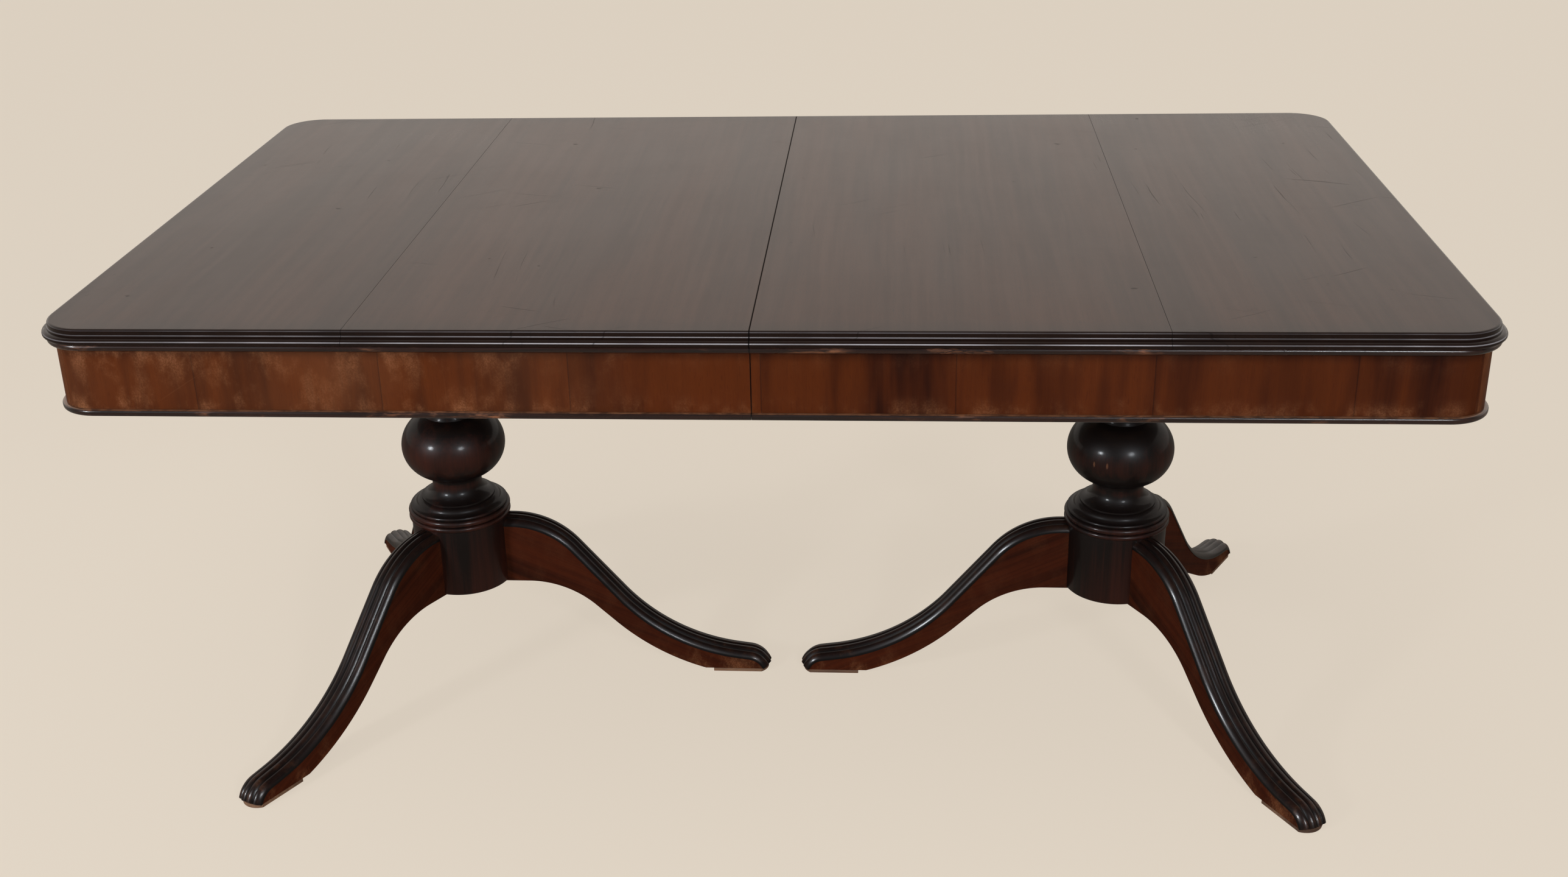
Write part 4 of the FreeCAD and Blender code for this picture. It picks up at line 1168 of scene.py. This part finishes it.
class TABLE_OT_set_stage(bpy.types.Operator):
    """Set the floor, the light and the camera"""
    bl_idname = "table.set_stage"
    bl_label = "Set Stage"

    def execute(self, context):
        studio = context.scene.studio_light
        self.floor(studio)
        self.room(context, studio)
        shaded = self.shaded_boards()
        square = {"color": studio.lamp_tint, "size": studio.lamp_side}
        for side, spot in zip(SIDES, (studio.left_lamp, studio.right_lamp)):
            where = (spot, studio.lamp_aim)
            lamp = self.hang(side + "_lamp", "AREA", *where, energy=studio.lamp_power, **square)
            lamp.visible_glossy = False
            glint = self.hang(side + "_glint", "AREA", *where, energy=studio.glint_power, **square)
            glint.visible_diffuse = False
            glint.light_linking.receiver_collection = shaded
        soft = {"energy": studio.sky_strength, "angle": studio.sky_spread}
        sky = self.hang("sky", "SUN", studio.sky_place, (0.0, 0.0, 0.0), **soft)
        sky.visible_glossy = False
        self.camera(context, studio)
        context.scene.view_settings.view_transform = "Standard"
        return {"FINISHED"}

    def bare_nodes(self, owner):
        owner.use_nodes = True
        owner.node_tree.nodes.clear()
        return Nodes(owner.node_tree)

    def seen(self, n):
        """1 for rays that show the surroundings, and 1 for those that do so in polish or glass."""
        rays = n.add("ShaderNodeLightPath").outputs
        mirrored = n.total(rays["Is Glossy Ray"], rays["Is Transmission Ray"], clamp=True)
        return n.total(rays["Is Camera Ray"], mirrored, clamp=True), mirrored

    def floor(self, studio):
        half = studio.floor_half
        mesh = bpy.data.meshes.new("floor")
        corners = [(-half, -half, 0.0), (half, -half, 0.0), (half, half, 0.0), (-half, half, 0.0)]
        mesh.from_pydata(corners, [], [(0, 1, 2, 3)])
        floor = stand("floor", mesh)
        material = bpy.data.materials.new("floor_paper")
        n = self.bare_nodes(material)
        seen, mirrored = self.seen(n)
        matt = n.shader("BsdfDiffuse", {"Color": studio.backdrop})
        glow = n.shader("Emission", {"Color": studio.backdrop, "Strength": 1.0})
        direct = n.times(n.minus(seen, mirrored), studio.floor_glow)
        lit = n.shader("MixShader", {0: direct, 1: matt, 2: glow})
        dim = n.shader("Emission", {"Color": studio.backdrop, "Strength": studio.mirror_glow})
        both = n.shader("MixShader", {0: mirrored, 1: lit, 2: dim})
        n.add("ShaderNodeOutputMaterial", {"Surface": both})
        mesh.materials.append(material)

    def room(self, context, studio):
        world = bpy.data.worlds.new("room")
        context.scene.world = world
        n = self.bare_nodes(world)
        seen, mirrored = self.seen(n)
        even = n.shader("Background", {"Color": (1.0, 1.0, 1.0), "Strength": studio.room_light})
        depth = n.split(n.add("ShaderNodeTexCoord").outputs["Generated"])[1]
        near = n.span(depth, *ROOM_FADE)
        level = n.total(1.0, (near, mirrored, studio.dim_room - 1.0))
        shown = n.mix(mirrored, studio.backdrop, studio.room_tint)
        pale = n.shader("Background", {"Color": shown, "Strength": level})
        both = n.shader("MixShader", {0: seen, 1: even, 2: pale})
        n.add("ShaderNodeOutputWorld", {"Surface": both})

    def hang(self, name, kind, spot, target, **values):
        """Hangs a light at a place and points it at a target."""
        light = bpy.data.lights.new(name, kind)
        for key, value in values.items():
            setattr(light, key, value)
        lamp = stand(name, light)
        aim = Vector(target) - Vector(spot)
        lamp.matrix_world = Matrix.Translation(spot) @ aim.to_track_quat("-Z", "Y").to_matrix().to_4x4()
        return lamp

    def shaded_boards(self):
        """The flat boards, which would mirror a whole lamp to a camera behind the table."""
        shaded = bpy.data.collections.new("shaded_boards")
        for name in on_both(*TOP_BOARDS):
            shaded.objects.link(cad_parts[name])
        for member in shaded.collection_objects:
            member.light_linking.link_state = "EXCLUDE"
        return shaded

    def camera(self, context, studio):
        turn = Matrix.Rotation(-studio.camera_yaw, 4, "Z")
        turn @= Matrix.Rotation(math.pi / 2 - studio.camera_pitch, 4, "X")
        turn @= Matrix.Rotation(studio.camera_roll, 4, "Z")
        data = bpy.data.cameras.new("camera")
        data.sensor_width = 36.0
        data.lens = studio.focal_pixels / studio.picture_width * data.sensor_width
        data.shift_x = 0.5 - studio.centre_pixel / studio.picture_width
        camera = stand("camera", data)
        camera.matrix_world = Matrix.Translation(studio.camera_place) @ turn
        context.scene.camera = camera


OPERATORS = (
    TABLE_OT_finish_top, TABLE_OT_finish_apron, TABLE_OT_run_beads, TABLE_OT_turn_columns,
    TABLE_OT_sweep_legs, TABLE_OT_fit_screws, TABLE_OT_finish_underframe, TABLE_OT_set_stage,
)
SETTINGS = (
    ("turning_sizes", TurningSizes),
    ("leg_sizes", LegSizes),
    ("fitting_sizes", FittingSizes),
    ("table_finish", TableFinish),
    ("studio_light", StudioLight),
)


class TABLE_PT_workshop(bpy.types.Panel):
    """Sizes, colours and steps of the table"""
    bl_idname = "TABLE_PT_workshop"
    bl_label = "Dining Table"
    bl_space_type = "VIEW_3D"
    bl_region_type = "UI"
    bl_category = "Table"

    def draw(self, context):
        for operator in OPERATORS:
            self.layout.operator(operator.bl_idname)
        for name, group in SETTINGS:
            box = self.layout.box()
            box.label(text=group.__doc__)
            for key in group.__annotations__:
                box.prop(getattr(context.scene, name), key)


def register():
    for name, group in SETTINGS:
        bpy.utils.register_class(group)
        setattr(bpy.types.Scene, name, PointerProperty(type=group))
    for item in OPERATORS + (TABLE_PT_workshop,):
        bpy.utils.register_class(item)


def unregister():
    for item in (TABLE_PT_workshop,) + OPERATORS:
        bpy.utils.unregister_class(item)
    for name, group in SETTINGS:
        delattr(bpy.types.Scene, name)
        bpy.utils.unregister_class(group)


def main():
    register()
    for group in (grain_group, wear_group, rim_group):
        group()
    bpy.ops.table.finish_top()
    bpy.ops.table.finish_apron()
    bpy.ops.table.run_beads()
    bpy.ops.table.turn_columns()
    bpy.ops.table.sweep_legs()
    bpy.ops.table.fit_screws()
    bpy.ops.table.finish_underframe()
    bpy.ops.table.set_stage()


if __name__ == "__main__":
    main()
